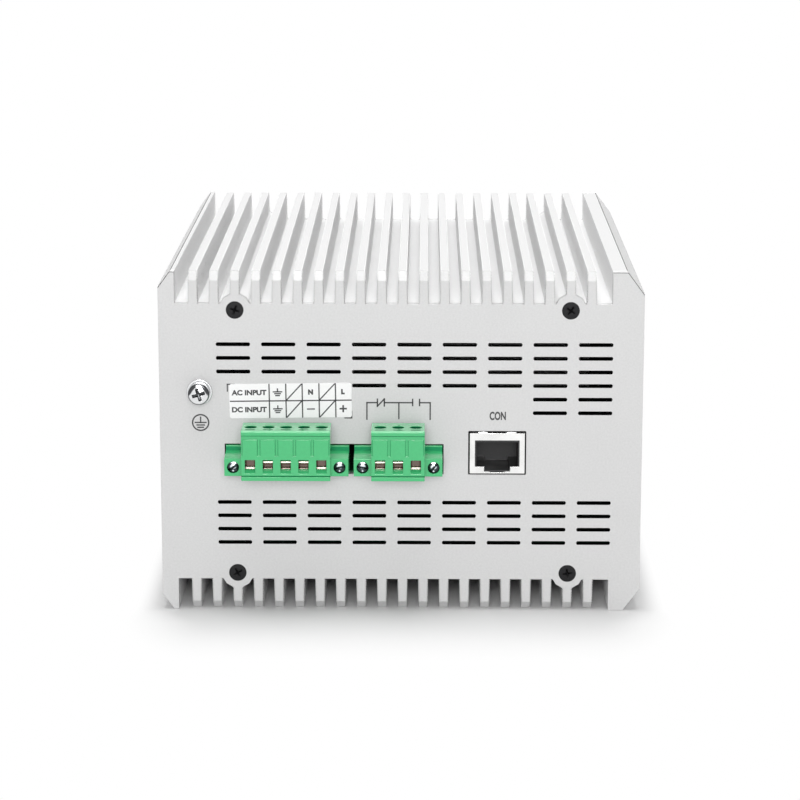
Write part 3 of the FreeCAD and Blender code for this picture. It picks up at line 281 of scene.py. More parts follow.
FINISHES = {
    "panel": finish("silver panel coat", grey(0.63), (0.40, 0.56), metallic=0.15,
                    grain=(1700.0, 0.055), bump=0.012),
    "housing": housing_coat("silver housing coat", 0.955),
    # A darker copy of the coat, painted as shade on the outer sides and fin tips.
    "painted_shade_coat": housing_coat("housing coat in painted shade", 0.83),
    "black_screw": finish("black oxide", (0.010, 0.010, 0.011), (0.30, 0.48),
                          grain=(3000.0, 0.15), bump=0.01, constants={"Specular IOR Level": 0.22}),
    # Zinc, the bluish zinc and the clamp metal take painted shade, reflections and highlights through their
    # painted_shade colour.
    "zinc": finish("bright zinc", (0.80, 0.81, 0.82), (0.14, 0.26), metallic=1.0,
                   grain=(700.0, 0.06), blotch=400.0, bump=0.004, painted_shade=(0.03, 0.032, 0.035)),
    # Bluish zinc for the flange screws, whose reflections are painted in through its painted_shade share.
    "blued_zinc": finish("blued zinc", (0.86, 0.92, 0.96), (0.12, 0.22), metallic=1.0,
                         grain=(700.0, 0.06), blotch=400.0, bump=0.004, painted_shade=(0.018, 0.035, 0.036)),
    "green_plastic": finish("green terminal moulding", (0.058, 0.515, 0.190), (0.12, 0.20),
                            grain=(1200.0, 0.04), blotch=150.0, bump=0.004, bounce=(0.30, 0.42, 0.34),
                            constants={"Coat Weight": 0.5, "Coat Roughness": 0.22}),
    "clamp_metal": finish("coppered clamp", (0.95, 0.85, 0.77), (0.20, 0.36), metallic=1.0,
                          grain=(1500.0, 0.10), blotch=500.0, bump=0.006, painted_shade=(0.075, 0.042, 0.032)),
    # Greens in deep and half shade are painted shade in grooves, wells and on the shelves behind the ears.
    "green_shade": finish("green in deep shade", (0.005, 0.13, 0.05), (0.5, 0.7),
                          grain=(1200.0, 0.06), bump=0.004, constants=NO_SHINE),
    "green_recess": finish("green in half shade", (0.02, 0.33, 0.13), (0.4, 0.6),
                           grain=(1200.0, 0.06), bump=0.004, constants={"Specular IOR Level": 0.1}),
    "tin": finish("tinned sheet", (0.80, 0.80, 0.79), (0.22, 0.36), metallic=1.0,
                  grain=(900.0, 0.03), blotch=200.0, bump=0.003, lines=SHEET_LINES),
    "black_plastic": finish("black moulding", (0.018, 0.018, 0.019), (0.32, 0.5),
                            grain=(1500.0, 0.12), blotch=200.0, bump=0.008),
    "contact": finish("gilded contact", (0.86, 0.62, 0.26), (0.18, 0.3), metallic=1.0,
                      grain=(2000.0, 0.05), blotch=400.0, bump=0.003),
    "board": finish("board lacquer", (0.02, 0.13, 0.06), (0.25, 0.4), grain=(400.0, 0.15), bump=0.01),
    "heat_pad": finish("heat pad", (0.45, 0.48, 0.53), (0.6, 0.8), grain=(1500.0, 0.08), bump=0.02),
    "sleeve": finish("shrunk sleeve", (0.03, 0.035, 0.06), (0.2, 0.32), grain=(800.0, 0.08), bump=0.005),
    "ferrite": finish("fired ferrite", (0.05, 0.05, 0.053), (0.5, 0.7), grain=(1200.0, 0.15), bump=0.02),
    "winding": finish("yellow winding tape", (0.62, 0.48, 0.10), (0.3, 0.45), grain=(600.0, 0.06), bump=0.01),
    "lens": finish("clear light pipe", (0.62, 0.68, 0.60), (0.10, 0.18), grain=(500.0, 0.03), bump=0.002,
                   constants={"Transmission Weight": 0.35}),
    "paper": finish("label film", grey(0.95), (0.34, 0.46), grain=(2500.0, 0.02), bump=0.004),
    # Near black, painted as shade on slot walls and inside the housing; the joints use the same black.
    "cut_edge": finish("slot shade and joint black", grey(0.003), (0.6, 0.8),
                       grain=(1500.0, 0.1), bump=0.01, constants=NO_SHINE),
    "inner_painted_shade": finish("painted shade inside", grey(0.008), (0.6, 0.8),
                          grain=(1500.0, 0.1), bump=0.01, constants={"Specular IOR Level": 0.1}),
    "ink": finish("printing ink", (0.05, 0.05, 0.052), (0.45, 0.6), grain=(2500.0, 0.15), bump=0.004),
}
print(len(FINISHES), "finishes")

# %% [markdown]
# ## Dressing the solids
# Each solid has one material slot in the record, such as housing, zinc or black plastic. The finish with
# that name goes onto it, so a solid that is added later finds its finish by itself.

# %% Finish each solid
SLOT_OF = {part["node"]: part["material_slot"] for part in frame["record"]["subparts"]}
for node, solid in frame["nodes"].items():
    solid.data.materials.clear()
    solid.data.materials.append(FINISHES[SLOT_OF[node]])
print(len(SLOT_OF), "solids have a finish")

# %% [markdown]
# ## Sorting the faces
# Two functions sort the faces of a cover or a panel by their place and direction, to paint shade: a cover's
# outer sides and fin tips get a darker copy of its coat, and all that looks inwards is painted near black, as
# the walls of the vent slots are. Painting a mask by hand would do it too, but it would be lost when the
# solid changes.


# %% Sort the faces
def solid_box(node):
    """Lowest and highest corner of a solid, in millimetres, to a ten-thousandth."""
    return np.round(np.array(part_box(node)) / MM, 4)


panel_low, panel_high = solid_box("rear_panel")
HOUSING_WIDTH = panel_high[0] - panel_low[0]
HOUSING_HEIGHT = panel_high[2]
HALF_DEPTH = -panel_low[1]
PANEL_THICKNESS = panel_high[1] - panel_low[1]
FIN_HEIGHT = 9.25
INNER_HALF_WIDTH = 68.0
INNER_MARGIN = 1.0
INNER_LOW = FIN_HEIGHT - INNER_MARGIN
INNER_HIGH = HOUSING_HEIGHT - FIN_HEIGHT - INNER_MARGIN
SIDES_BEYOND = 64.0
TIPS_ABOVE = HOUSING_HEIGHT - 0.5
SLOT_FIELD_X = 62.0
SLOT_FIELD_Z = (18.0, 82.0)
SLOT_LONGEST = 9.9
LOOKS_UP = 0.9
LOOKS_OUT = 0.5
LOOKS_ASIDE = 0.3


def cover_finish(face):
    """Finish of a cover's face: 1 for its outer sides and fin tips, 2 for all that looks inwards, or 0; 1 and
    2 are painted shade.
    """
    x, _, z = face.calc_center_median() / MM
    if z > TIPS_ABOVE and face.normal.z > LOOKS_UP:
        return 1
    if abs(x) < INNER_HALF_WIDTH and INNER_LOW < z < INNER_HIGH:
        return 2
    return int(abs(x) > SIDES_BEYOND and face.normal.x * np.sign(x) > LOOKS_OUT)


def panel_finish(face):
    """Finish of a panel's face: 1 for a vent slot's wall, painted near black as shade, and 0 for all others.

    A slot's wall is square to the panel, inside the field of slots, and no longer than a slot.
    """
    x, _, z = face.calc_center_median() / MM
    longest = max(edge.calc_length() for edge in face.edges) / MM
    inside = abs(x) < SLOT_FIELD_X and SLOT_FIELD_Z[0] < z < SLOT_FIELD_Z[1]
    return int(inside and abs(face.normal.y) < LOOKS_ASIDE and longest < SLOT_LONGEST)


# Faces sorted out here get finishes of painted shade.
FACE_FINISHES = {
    "panel": (panel_finish, ("cut_edge",)),
    "housing": (cover_finish, ("painted_shade_coat", "inner_painted_shade")),
}
print("faces are sorted on", ", ".join(FACE_FINISHES))

# %% [markdown]
# ## Rounded copies
# An edge without a highlight looks drawn and not made, so pieces that show get edges rounded by a tenth
# of a millimetre or so. Rounding every solid in the CAD would cost far too many triangles. Here each one
# is copied: the copy is welded, its coplanar triangles are joined into whole faces, and a Bevel modifier
# rounds it. The solid itself is never changed: the copy stands for it.

# %% Rounded copies
EDGE_WIDTHS = {
    "top_cover": 0.18, "base_cover": 0.18, "rear_panel": 0.12, "front_panel": 0.12,
    "power_plug": 0.13, "alarm_plug": 0.13, "power_header": 0.10, "alarm_header": 0.10,
    "console_jack_shield": 0.06, "lan_jack_shield": 0.06, "sfp_cage_1": 0.08, "sfp_cage_2": 0.08,
    "console_jack_insulator": 0.08, "lan_jack_insulator": 0.08,
}
WELD = 0.001 * MM
FLAT = math.radians(0.5)
SHARP = math.radians(30)
SAME_AREA = 1e-9
SLOT_ROUNDING = 0.06


def seat(piece, slot):
    """Put a new piece into the scene, on the switch's one body, with the finish of its slot."""
    piece.data.materials.append(FINISHES[slot])
    bpy.context.scene.collection.objects.link(piece)
    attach(piece, "root")
    return piece


def rounded_copy(node, width):
    """Welded copy of a solid with whole faces, whose edges sharper than 30 degrees get a round bevel.

    The punched edges of the vent slots stay crisp: they get only a small share of the rounding.
    """
    work = bmesh.new()
    work.from_mesh(frame["nodes"][node].data)
    bmesh.ops.remove_doubles(work, verts=work.verts, dist=WELD)
    bmesh.ops.dissolve_limit(work, angle_limit=FLAT, verts=work.verts, edges=work.edges)
    sort, more = FACE_FINISHES.get(SLOT_OF[node], (None, ()))
    if sort:
        for face in work.faces:
            face.material_index = sort(face)
    rounding = work.edges.layers.float.new("bevel_weight_edge")
    for edge in work.edges:
        if edge.calc_face_angle(0.0) > SHARP:
            slot_edge = sort is panel_finish and 1 in [face.material_index for face in edge.link_faces]
            edge[rounding] = SLOT_ROUNDING if slot_edge else 1.0
    mesh = bpy.data.meshes.new(node + "_rounded")
    work.to_mesh(mesh)
    work.free()
    mesh.shade_smooth()
    piece = seat(bpy.data.objects.new(mesh.name, mesh), SLOT_OF[node])
    for extra in more:
        mesh.materials.append(FINISHES[extra])
    bevel = piece.modifiers.new("round edges", "BEVEL")
    bevel.width = width * MM
    bevel.segments = 2
    bevel.limit_method = "WEIGHT"
    bevel.use_clamp_overlap = False
    flatten = piece.modifiers.new("keep faces flat", "WEIGHTED_NORMAL")
    flatten.mode = "FACE_AREA"
    flatten.weight = 100
    flatten.thresh = SAME_AREA
    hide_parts(node)
    return piece


for node, width in EDGE_WIDTHS.items():
    rounded_copy(node, width)
print(len(EDGE_WIDTHS), "solids stand as rounded copies")

# %% [markdown]
# ## Meshes from arrays
# The new pieces are worked out with numpy. A grid of points, rows by columns, becomes a surface when each
# cell of the grid becomes a face. The last column joins the first, so the surface closes on itself, which
# is how anything turned on a lathe is made here.


# %% Grids to meshes
def grid_faces(rows, columns, wrap_rows=False):
    """Corner numbers of each cell of a grid whose last column joins the first, and maybe its last row too."""
    row = np.arange(rows if wrap_rows else rows - 1)[:, None]
    column = np.arange(columns)[None, :]
    next_row = (row + 1) % rows
    next_column = (column + 1) % columns
    cells = np.stack(np.broadcast_arrays(
        row * columns + column, row * columns + next_column,
        next_row * columns + next_column, next_row * columns + column), axis=-1)
    return cells.reshape(-1, 4)


def repeated(body, count):
    """Faces of many equal bodies: those of one, with its corner numbers moved up for each further one."""
    start = (1 + max(map(max, body))) * np.arange(count)[:, None]
    return [row for face in body for row in (start + np.array(face)).tolist()]


def new_piece(name, points, faces, painted_shade, slot, replaced=(), smooth=True):
    """Mesh piece from points in mm, faces, and a share of painted shade per point or None; it may stand for
    solids.
    """
    mesh = bpy.data.meshes.new(name)
    mesh.from_pydata((np.asarray(points) * MM).tolist(), [], [list(map(int, face)) for face in faces])
    if painted_shade is not None:
        share = mesh.attributes.new("painted_shade", "FLOAT", "POINT")
        share.data.foreach_set("value", np.asarray(painted_shade, np.float32))
    work = bmesh.new()
    work.from_mesh(mesh)
    bmesh.ops.remove_doubles(work, verts=work.verts, dist=WELD)
    bmesh.ops.recalc_face_normals(work, faces=work.faces)
    work.to_mesh(mesh)
    work.free()
    if smooth:
        mesh.shade_smooth()
        mesh.set_sharp_from_angle(angle=SHARP)
    piece = seat(bpy.data.objects.new(name, mesh), slot)
    if replaced:
        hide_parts(*replaced)
    print(name, len(mesh.vertices), "points")
    return piece


def gather(parts):
    """Join several (points, faces, painted shade) into one, moving each part's corner numbers up."""
    points = []
    faces = []
    painted_shade = []
    count = 0
    for part_points, part_faces, part_painted_shade in parts:
        points.append(part_points)
        faces += [np.asarray(face) + count for face in part_faces]
        painted_shade.append(np.zeros(len(part_points)) if part_painted_shade is None else part_painted_shade)
        count += len(part_points)
    return np.concatenate(points), faces, np.concatenate(painted_shade)


# %% [markdown]
# ## Serrated fins
# The flanks of the extruded fins are not smooth: the die leaves fine ribs along them, which add surface
# for cooling, and on the end plates the same ribs are cut as small teeth. A bump map would leave the
# plates' outline straight, so each rib is a bar that lies on a flank. One function lays a cross section on
# every fin, flank and step at once, and the bars end on the fins' sloped ends: the plates get pointed
# teeth and the covers get flat ribs.

# %% Serrated fins
FIN_PITCH = 6.0
FIN_COUNT = 20
FIN_FIRST_X = -59.525
FIN_ROOT_HALF = 1.175
FIN_TIP_HALF = 1.025
FIN_BEVEL = 2.5
SCREW_BELOW_ROOT = 1.85
SCREW_FINS = (2, FIN_COUNT - 2)
SCREW_LEVEL = FIN_HEIGHT + SCREW_BELOW_ROOT
SCREW_PLACES = np.array([(FIN_FIRST_X + FIN_PITCH * fin, z)
                         for fin in SCREW_FINS for z in (SCREW_LEVEL, HOUSING_HEIGHT - SCREW_LEVEL)])
LOBE_RADIUS = 4.7
RIB_STEPS = 12
RIB_SUNK = 0.05
TOOTH = [(-0.37, -RIB_SUNK), (-0.05, 0.30), (0.05, 0.30), (0.37, -RIB_SUNK)]
RIB = [(-0.37, -RIB_SUNK), (-0.32, 0.19), (0.32, 0.19), (0.37, -RIB_SUNK)]


def closed_bar(corners):
    """Faces of a bar between two outlines with a given number of corners each: its sides and both ends."""
    first = list(range(corners))
    return grid_faces(2, corners).tolist() + [first, [corner + corners for corner in first[::-1]]]


def fin_bars(section, near, far):
    """Bars on the fins' flanks: x = fin +/- (half width at that height + out), z = root height + up.

    The section is a list of (up, out) corners. Near and far are the ends along y, and both follow the
    slope of the fins' ends. Axes of the arrays: fin, flank, top or bottom, step up the flank, corner.
    Bars that would lie in the round lobe behind a panel screw are left out.
    """
    up, out = np.array(section).T
    fin = FIN_FIRST_X + FIN_PITCH * np.arange(FIN_COUNT)[:, None, None, None, None]
    flank = np.array((-1.0, 1.0))[None, :, None, None, None]
    rib = FIN_HEIGHT * (np.arange(RIB_STEPS) + 0.5) / RIB_STEPS
    height = rib[:, None] + up
    half = FIN_ROOT_HALF - (FIN_ROOT_HALF - FIN_TIP_HALF) / FIN_HEIGHT * height + out
    depth = FIN_HEIGHT - height
    z = np.stack((HOUSING_HEIGHT - depth, depth))
    slope = HALF_DEPTH - np.maximum(height - (FIN_HEIGHT - FIN_BEVEL), 0.0)
    x, z, slope = np.broadcast_arrays(fin + flank * half, z, slope)
    ends = [np.stack((x, np.clip(end, -slope, slope), z), axis=-1) for end in (near, far)]
    bars = np.concatenate(ends, axis=-2).reshape(-1, 2 * len(section), 3)
    from_screw = np.linalg.norm(bars.mean(axis=1)[:, None, ::2] - SCREW_PLACES, axis=2).min(axis=1)
    bars = bars[from_screw > LOBE_RADIUS]
    return bars.reshape(-1, 3), repeated(closed_bar(len(section)), len(bars)), None


INNER_END = HALF_DEPTH - PANEL_THICKNESS
new_piece("fin_ribs", *fin_bars(RIB, -INNER_END, INNER_END), "housing", smooth=False)
new_piece("terminal_panel_teeth", *fin_bars(TOOTH, -HALF_DEPTH, -INNER_END), "panel", smooth=False)
new_piece("port_panel_teeth", *fin_bars(TOOTH, INNER_END, HALF_DEPTH), "panel", smooth=False)

# %% [markdown]
# ## Screw heads with a driver recess
# A screw head could be turned and then cut with a Boolean, which leaves ragged faces. Here it is a height
# field on a polar grid: rings give a radius and how far the head stands proud there, and a recess formula
# pushes the surface in where the driver goes. One function makes the flat black panel screws, the domed
# earth screw and the slotted terminal screws.

# %% Screw heads
TURN_STEPS = 96
SKIRT_RINGS = 2
DOME_RINGS = 34
SKIRT_STEP = 0.01
RECESS_WALL = 0.18
SLOT_WALL = 0.1


def soft_step(value, width):
    """0 below zero, 1 above width, and a smooth S between them."""
    share = np.clip(value / width, 0.0, 1.0)
    return share * share * (3.0 - 2.0 * share)


def cross_recess(u, v, reach, width, depth):
    """Depth of a cross: two bars of a given width and reach, deepest in the middle, with sloping walls."""
    bar_u = soft_step(width / 2 - np.abs(v), RECESS_WALL) * soft_step(reach - np.abs(u), RECESS_WALL)
    bar_v = soft_step(width / 2 - np.abs(u), RECESS_WALL) * soft_step(reach - np.abs(v), RECESS_WALL)
    fall = 1.0 - 0.5 * np.clip(np.hypot(u, v) / reach, 0.0, 1.0)
    return depth * fall * np.maximum(bar_u, bar_v)


def slot_recess(u, v, width, depth):
    """Depth of one straight slot right across the head."""
    return depth * soft_step(width / 2 - np.abs(v) + SLOT_WALL / 2, SLOT_WALL)


def dome_rings(radius, crown, edge, skirt):
    """Rings of a domed face: proud = crown * (1 - (r/R)^2), a rounded edge, then a straight skirt."""
    r = np.linspace(0.0, radius - edge, DOME_RINGS)
    rings = [(a, crown * (1.0 - (a / radius) ** 2)) for a in r]
    corner = np.linspace(0.0, np.pi / 2, 6)[1:]
    base = rings[-1][1]
    rings += [(radius - edge + edge * math.sin(a), base - edge + edge * math.cos(a)) for a in corner]
    rings += [(radius, base - edge - SKIRT_STEP), (radius, -skirt)]
    return rings


def no_stain(x, z, dip):
    """A head without painted shade: a share of zero everywhere."""
    return np.zeros_like(dip)


def head_grid(head, turn, recess, cut, painted_shade_of=no_stain):
    """Polar grid of a head that faces -Y: y = -proud(r) + recess(u, v), with u and v turned in the plane.

    The head gives the sizes of its dome and the cut those of its recess. The painted shade is a share from 0
    to 1 that follows the place on the head, as part of its radius, and the dip: shade, reflections and
    highlights painted into the colour.
    """
    angle = np.linspace(0.0, 2.0 * np.pi, TURN_STEPS, endpoint=False)
    radius, proud = np.array(dome_rings(**head)).T
    x = radius[:, None] * np.cos(angle)
    z = radius[:, None] * np.sin(angle)
    u = x * math.cos(turn) + z * math.sin(turn)
    v = z * math.cos(turn) - x * math.sin(turn)
    face = np.arange(len(radius))[:, None] < len(radius) - SKIRT_RINGS
    dip = np.where(face, recess(u, v, **cut), 0.0)
    points = np.stack((x, dip - proud[:, None], z), axis=-1).reshape(-1, 3)
    faces = grid_faces(len(radius), TURN_STEPS).tolist()
    faces.append(list(range(len(points) - TURN_STEPS, len(points))))
    return points, faces, painted_shade_of(x / radius.max(), z / radius.max(), dip).ravel()


def narrowed(points, deeper_than, share):
    """Points of a head whose skirt, from a given y on, narrows to a shaft: its x and z times the share."""
    shaft = points[:, 1:2] > deeper_than
    return np.where(shaft, points * (share, 1.0, share), points)

# %% [markdown]
# ## Panel screws
# Four black countersunk screws hold each end plate. They were driven home by hand, so every cross has
# stopped at an angle of its own. The port side's screws are the same ones, turned round.

# %% Panel screws
PANEL_HEAD = {"radius": 2.56, "crown": 0.06, "edge": 0.12, "skirt": 9.5}
PANEL_CROSS = {"reach": 1.45, "width": 0.62, "depth": 1.1}
PANEL_HEAD_PROUD = 0.05
PANEL_SHAFT_BELOW = 0.3
PANEL_SHAFT_SHARE = 0.58
PANEL_SCREW_TURNS = (0.5, -0.35, 0.15, 0.95)


def panel_screws(name, face, outward, replaced):
    """Four flat black screws with a cross; outward is -1 on the terminal side and 1 on the port side."""
    parts = []
    for (x, z), turn in zip(SCREW_PLACES, PANEL_SCREW_TURNS):
        points, faces, painted_shades = head_grid(PANEL_HEAD, turn, cross_recess, PANEL_CROSS)
        points = narrowed(points, PANEL_SHAFT_BELOW, PANEL_SHAFT_SHARE) * (-outward, -outward, 1)
        parts.append((points + (x, face + outward * PANEL_HEAD_PROUD, z), faces, painted_shades))
    return new_piece(name, *gather(parts), "black_screw", replaced)


panel_screws("terminal_panel_screws", -HALF_DEPTH, -1, ["rear_panel_screws"])
panel_screws("port_panel_screws", HALF_DEPTH, 1, ["front_panel_screws"])

# %% [markdown]
# ## The earth screw
# Beside the terminals sits a bright zinc screw on a spring washer and a flat washer. The washers could be
# made with Blender's Screw modifier, but it gives no say over the gap's ends. So a washer is a rounded
# rectangle carried round the screw's axis, and the spring washer is the same ring with a gap, whose two
# ends stand a little apart along the axis. The screw's place is read from its solid.

# %% Earth screw and washers
EARTH_X, _, EARTH_Z = solid_box("ground_screw").mean(axis=0)
EARTH_PLACE = np.array((EARTH_X, -HALF_DEPTH, EARTH_Z))
FLAT_WASHER = {"inner": 1.55, "outer": 3.7, "back": 0.0, "front": 0.8, "edge": 0.2}
SPRING_WASHER = {"inner": 1.55, "outer": 2.9, "back": 0.9, "front": 1.7, "edge": 0.15}
SPRING_SPLIT = 0.09
SPRING_RISE = 0.16
# Radii of painted shade on the flat washer: dark next to the head, which shades it, and half dark at its
# outer edge.
WASHER_SHADE = 3.45
WASHER_RIM = 3.58
EARTH_HEAD = {"radius": 3.1, "crown": 0.75, "edge": 0.55, "skirt": 2.7}
EARTH_CROSS = {"reach": 1.95, "width": 0.95, "depth": 1.5}
EARTH_TURN = 0.3
EARTH_HEAD_PROUD = 3.85
EARTH_SHAFT_BELOW = 2.35
EARTH_SHAFT_SHARE = 0.48


def ring_section(inner, outer, back, front, edge):
    """Rounded rectangle in (radius, y): four corner arcs of a given radius."""
    arc = np.linspace(0.0, np.pi / 2, 5)
    corners = [(outer - edge, front - edge, 0.0), (inner + edge, front - edge, np.pi / 2),
               (inner + edge, back + edge, np.pi), (outer - edge, back + edge, 1.5 * np.pi)]
    return np.array([(r + edge * math.cos(a + turn), y + edge * math.sin(a + turn))
                     for r, y, turn in corners for a in arc])


def turned(section, place, upright=False, steps=TURN_STEPS, split=0.0, rise=0.0):
    """Section of (radius, height) carried round an axis through a place, which points up or else to -Y.

    The ring may have a gap, from minus to plus the split angle, whose two ends stand apart by the rise.
    """
    count = steps if split == 0.0 else steps + 1
    angle = np.linspace(split, 2.0 * np.pi - split, count, endpoint=split > 0.0)[:, None]
    lift = rise * (np.linspace(0.0, 1.0, count)[:, None] - 0.5)
    radius, height = np.array(section).T
    a, b, h = np.broadcast_arrays(radius * np.cos(angle), radius * np.sin(angle), height - lift)
    points = np.stack((a, b, h) if upright else (a, -h, b), axis=-1).reshape(-1, 3) + place
    faces = grid_faces(count, len(section), wrap_rows=split == 0.0).tolist()
    if split > 0.0:
        ends = np.arange(len(section))
        faces += [ends.tolist(), (ends + (count - 1) * len(section)).tolist()]
    return points, faces, None


def earth_stain(x, z, dip):
    """Painted reflection and shade: dark in the recess, at the rim and on both upper shoulders, which mirror
    the dark of the room.
    """
    r = np.hypot(x, z)
    upper = soft_step(np.abs(x) * 1.2 + z - 0.85, 0.2) * soft_step(np.abs(x) - 0.12, 0.2)
    shoulder = soft_step(r - 0.60, 0.12) * upper
    ring = soft_step(r - 0.86, 0.05)
    return np.clip(np.maximum(shoulder, 0.85 * ring) + soft_step(dip - 0.12, 0.4), 0.0, 0.95)


points, faces, _ = turned(ring_section(**FLAT_WASHER), EARTH_PLACE)
radius = np.linalg.norm((points - EARTH_PLACE)[:, ::2], axis=1)
# Painted shade on the flat washer: dark next to the head and half dark on its outer edge.
painted_shades = 0.9 * soft_step(WASHER_SHADE - radius, 0.15) + 0.45 * soft_step(radius - WASHER_RIM, 0.1)
new_piece("earth_flat_washer", points, faces, painted_shades, "zinc", ["ground_flat_washer"])
spring = turned(ring_section(**SPRING_WASHER), EARTH_PLACE, split=SPRING_SPLIT, rise=SPRING_RISE)
new_piece("earth_spring_washer", *spring, "zinc", ["ground_spring_washer"])
points, faces, painted_shades = head_grid(EARTH_HEAD, EARTH_TURN, cross_recess, EARTH_CROSS, earth_stain)
points = narrowed(points, EARTH_SHAFT_BELOW, EARTH_SHAFT_SHARE) - (0.0, EARTH_HEAD_PROUD, 0.0)
new_piece("earth_screw_head", points + EARTH_PLACE, faces, painted_shades, "zinc", ["ground_screw"])

# %% [markdown]
# ## Terminal screws
# The plugs are held by two slotted screws each, sunk in the flanges, and each pole has a slotted screw
# deep in its well. They are heads of the same kind as before, at places read from their solids. Nobody
# lines the slots up, so each is turned by its own angle.

# %% Terminal screws
POLE_PITCH = 5.08
POLES = {"power": 5, "alarm": 3}
MIDDLES = {kind: solid_box(kind + "_plug").mean(axis=0)[0] for kind in POLES}
flange_low, flange_high = solid_box("power_plug_flange_screws")
FLANGE_FACE = flange_low[1]
FLANGE_Z = (flange_low[2] + flange_high[2]) / 2
FLANGE_HEAD = {"radius": 1.66, "crown": 0.35, "edge": 0.22, "skirt": 3.0}
FLANGE_SLOT = {"width": 0.55, "depth": 0.75}
FLANGE_HEAD_SUNK = 0.2
FLANGE_TURNS = {"power": (0.55, 0.2), "alarm": (-0.15, 0.85)}
well_low, well_high = solid_box("power_plug_clamp_screws")
WELL_Y = (well_low[1] + well_high[1]) / 2
WELL_SCREW_TOP = well_high[2]
WELL_CLEAR = 0.05
WELL_LENGTH = WELL_SCREW_TOP - well_low[2] - WELL_CLEAR
WELL_HEAD = {"radius": 1.6, "crown": 0.08, "edge": 0.15, "skirt": WELL_LENGTH}
WELL_SLOT = {"width": 0.55, "depth": 0.7}
WELL_FIRST_TURN = 0.4
WELL_NEXT_TURN = 0.9


def pole_places(kind):
    """X of each pole of a plug: evenly spaced about the plug's middle."""
    return MIDDLES[kind] + POLE_PITCH * (np.arange(POLES[kind]) - (POLES[kind] - 1) / 2)


def flange_places(kind):
    """X of both flange screws of a plug: one pole pitch beyond the outer poles."""
    poles = pole_places(kind)
    return poles[0] - POLE_PITCH, poles[-1] + POLE_PITCH


def flange_stain(x, z, dip):
    """Painted reflection: dark rim, slot and lower half, with a painted bright patch above the slot, a spark
    near the bottom and a glint at the top.
    """
    patch = soft_step(0.64 - np.hypot(x, (z - 0.14) * 1.35), 0.25)
    spark = soft_step(0.20 - np.hypot(x, z + 0.60), 0.12)
    glint = soft_step(z - 0.66, 0.1) * soft_step(0.95 - np.hypot(x, z), 0.08)
    dark = np.maximum(0.97 - 0.93 * patch, soft_step(dip - 0.1, 0.3))
    return np.clip(dark - spark - 0.6 * glint, 0.04, 0.97)


def flange_screws(kind):
    """Two slotted cheese-head screws, one in each flange of a plug."""
    parts = []
    for x, turn in zip(flange_places(kind), FLANGE_TURNS[kind]):
        points, faces, painted_shades = head_grid(FLANGE_HEAD, turn, slot_recess, FLANGE_SLOT, flange_stain)
        parts.append((points + (x, FLANGE_FACE + FLANGE_HEAD_SUNK, FLANGE_Z), faces, painted_shades))
    piece = new_piece(kind + "_flange_screws", *gather(parts), "blued_zinc", [kind + "_plug_flange_screws"])


def slot_stain(x, z, dip):
    """Painted shade: a dark slot and a thin dark rim."""
    return np.clip(soft_step(dip - 0.1, 0.3) + 0.5 * soft_step(np.hypot(x, z) - 0.86, 0.1), 0.0, 0.95)


def well_screws(kind):
    """Slotted screws that look up out of the wells, one for each pole."""
    parts = []
    for pole, x in enumerate(pole_places(kind)):
        turn = WELL_FIRST_TURN + WELL_NEXT_TURN * pole
        points, faces, painted_shades = head_grid(WELL_HEAD, turn, slot_recess, WELL_SLOT, slot_stain)
        upright = np.stack((points[:, 0], points[:, 2], -points[:, 1]), axis=-1)
        parts.append((upright + (x, WELL_Y, WELL_SCREW_TOP), faces, painted_shades))
    new_piece(kind + "_well_screws", *gather(parts), "zinc", [kind + "_plug_clamp_screws"])


for kind in POLES:
    flange_screws(kind)
for kind in POLES:
    well_screws(kind)

# %% [markdown]
# ## The wire clamps
# In each wire entry sits a coppered cage clamp. What shows is its jaw: a dull brown back with two rounded
# bars, whose highlights are painted into its colour, with a painted shadow under each bar and painted shade
# at the sides of the entry. The cage rises as its screw is tightened, so the upper bar is high in a clamp
# that is shut and low in an open one. Separate cylinders would need seams hidden, so the jaw is one profile
# in height,
# carried across the entry: the back plane, plus a half-round for each bar.

# %% Wire clamps
CLAMP_LOW = 44.55
CLAMP_HIGH = 47.66
CLAMP_BACK = solid_box("power_plug_clamps")[1][1]
JAW_ROWS = 54
JAW_COLUMNS = 13
JAW_PLANE = -89.6
JAW_BULGE = 0.9
JAW_HALF = 1.41
# JAW_DULL is the share of dark on the jaw's back; a bar's third number is the painted shade left on its
# crest, so a low one is a bright painted highlight.
JAW_DULL = 0.90
HIGH_BAR = (46.74, 0.54, 0.08)
LOW_BAR = (45.20, 0.38, 0.34)
BRIGHT_LIP = (44.90, 0.30, 0.60)
DULL_LIP = (44.88, 0.42, 0.86)
OPEN_JAW = [LOW_BAR, DULL_LIP]
SHUT_JAW = [HIGH_BAR, DULL_LIP]
BRIGHT_JAW = [HIGH_BAR, BRIGHT_LIP]
JAWS = {"power": [OPEN_JAW, BRIGHT_JAW, SHUT_JAW, SHUT_JAW, OPEN_JAW],
        "alarm": [BRIGHT_JAW, SHUT_JAW, OPEN_JAW]}


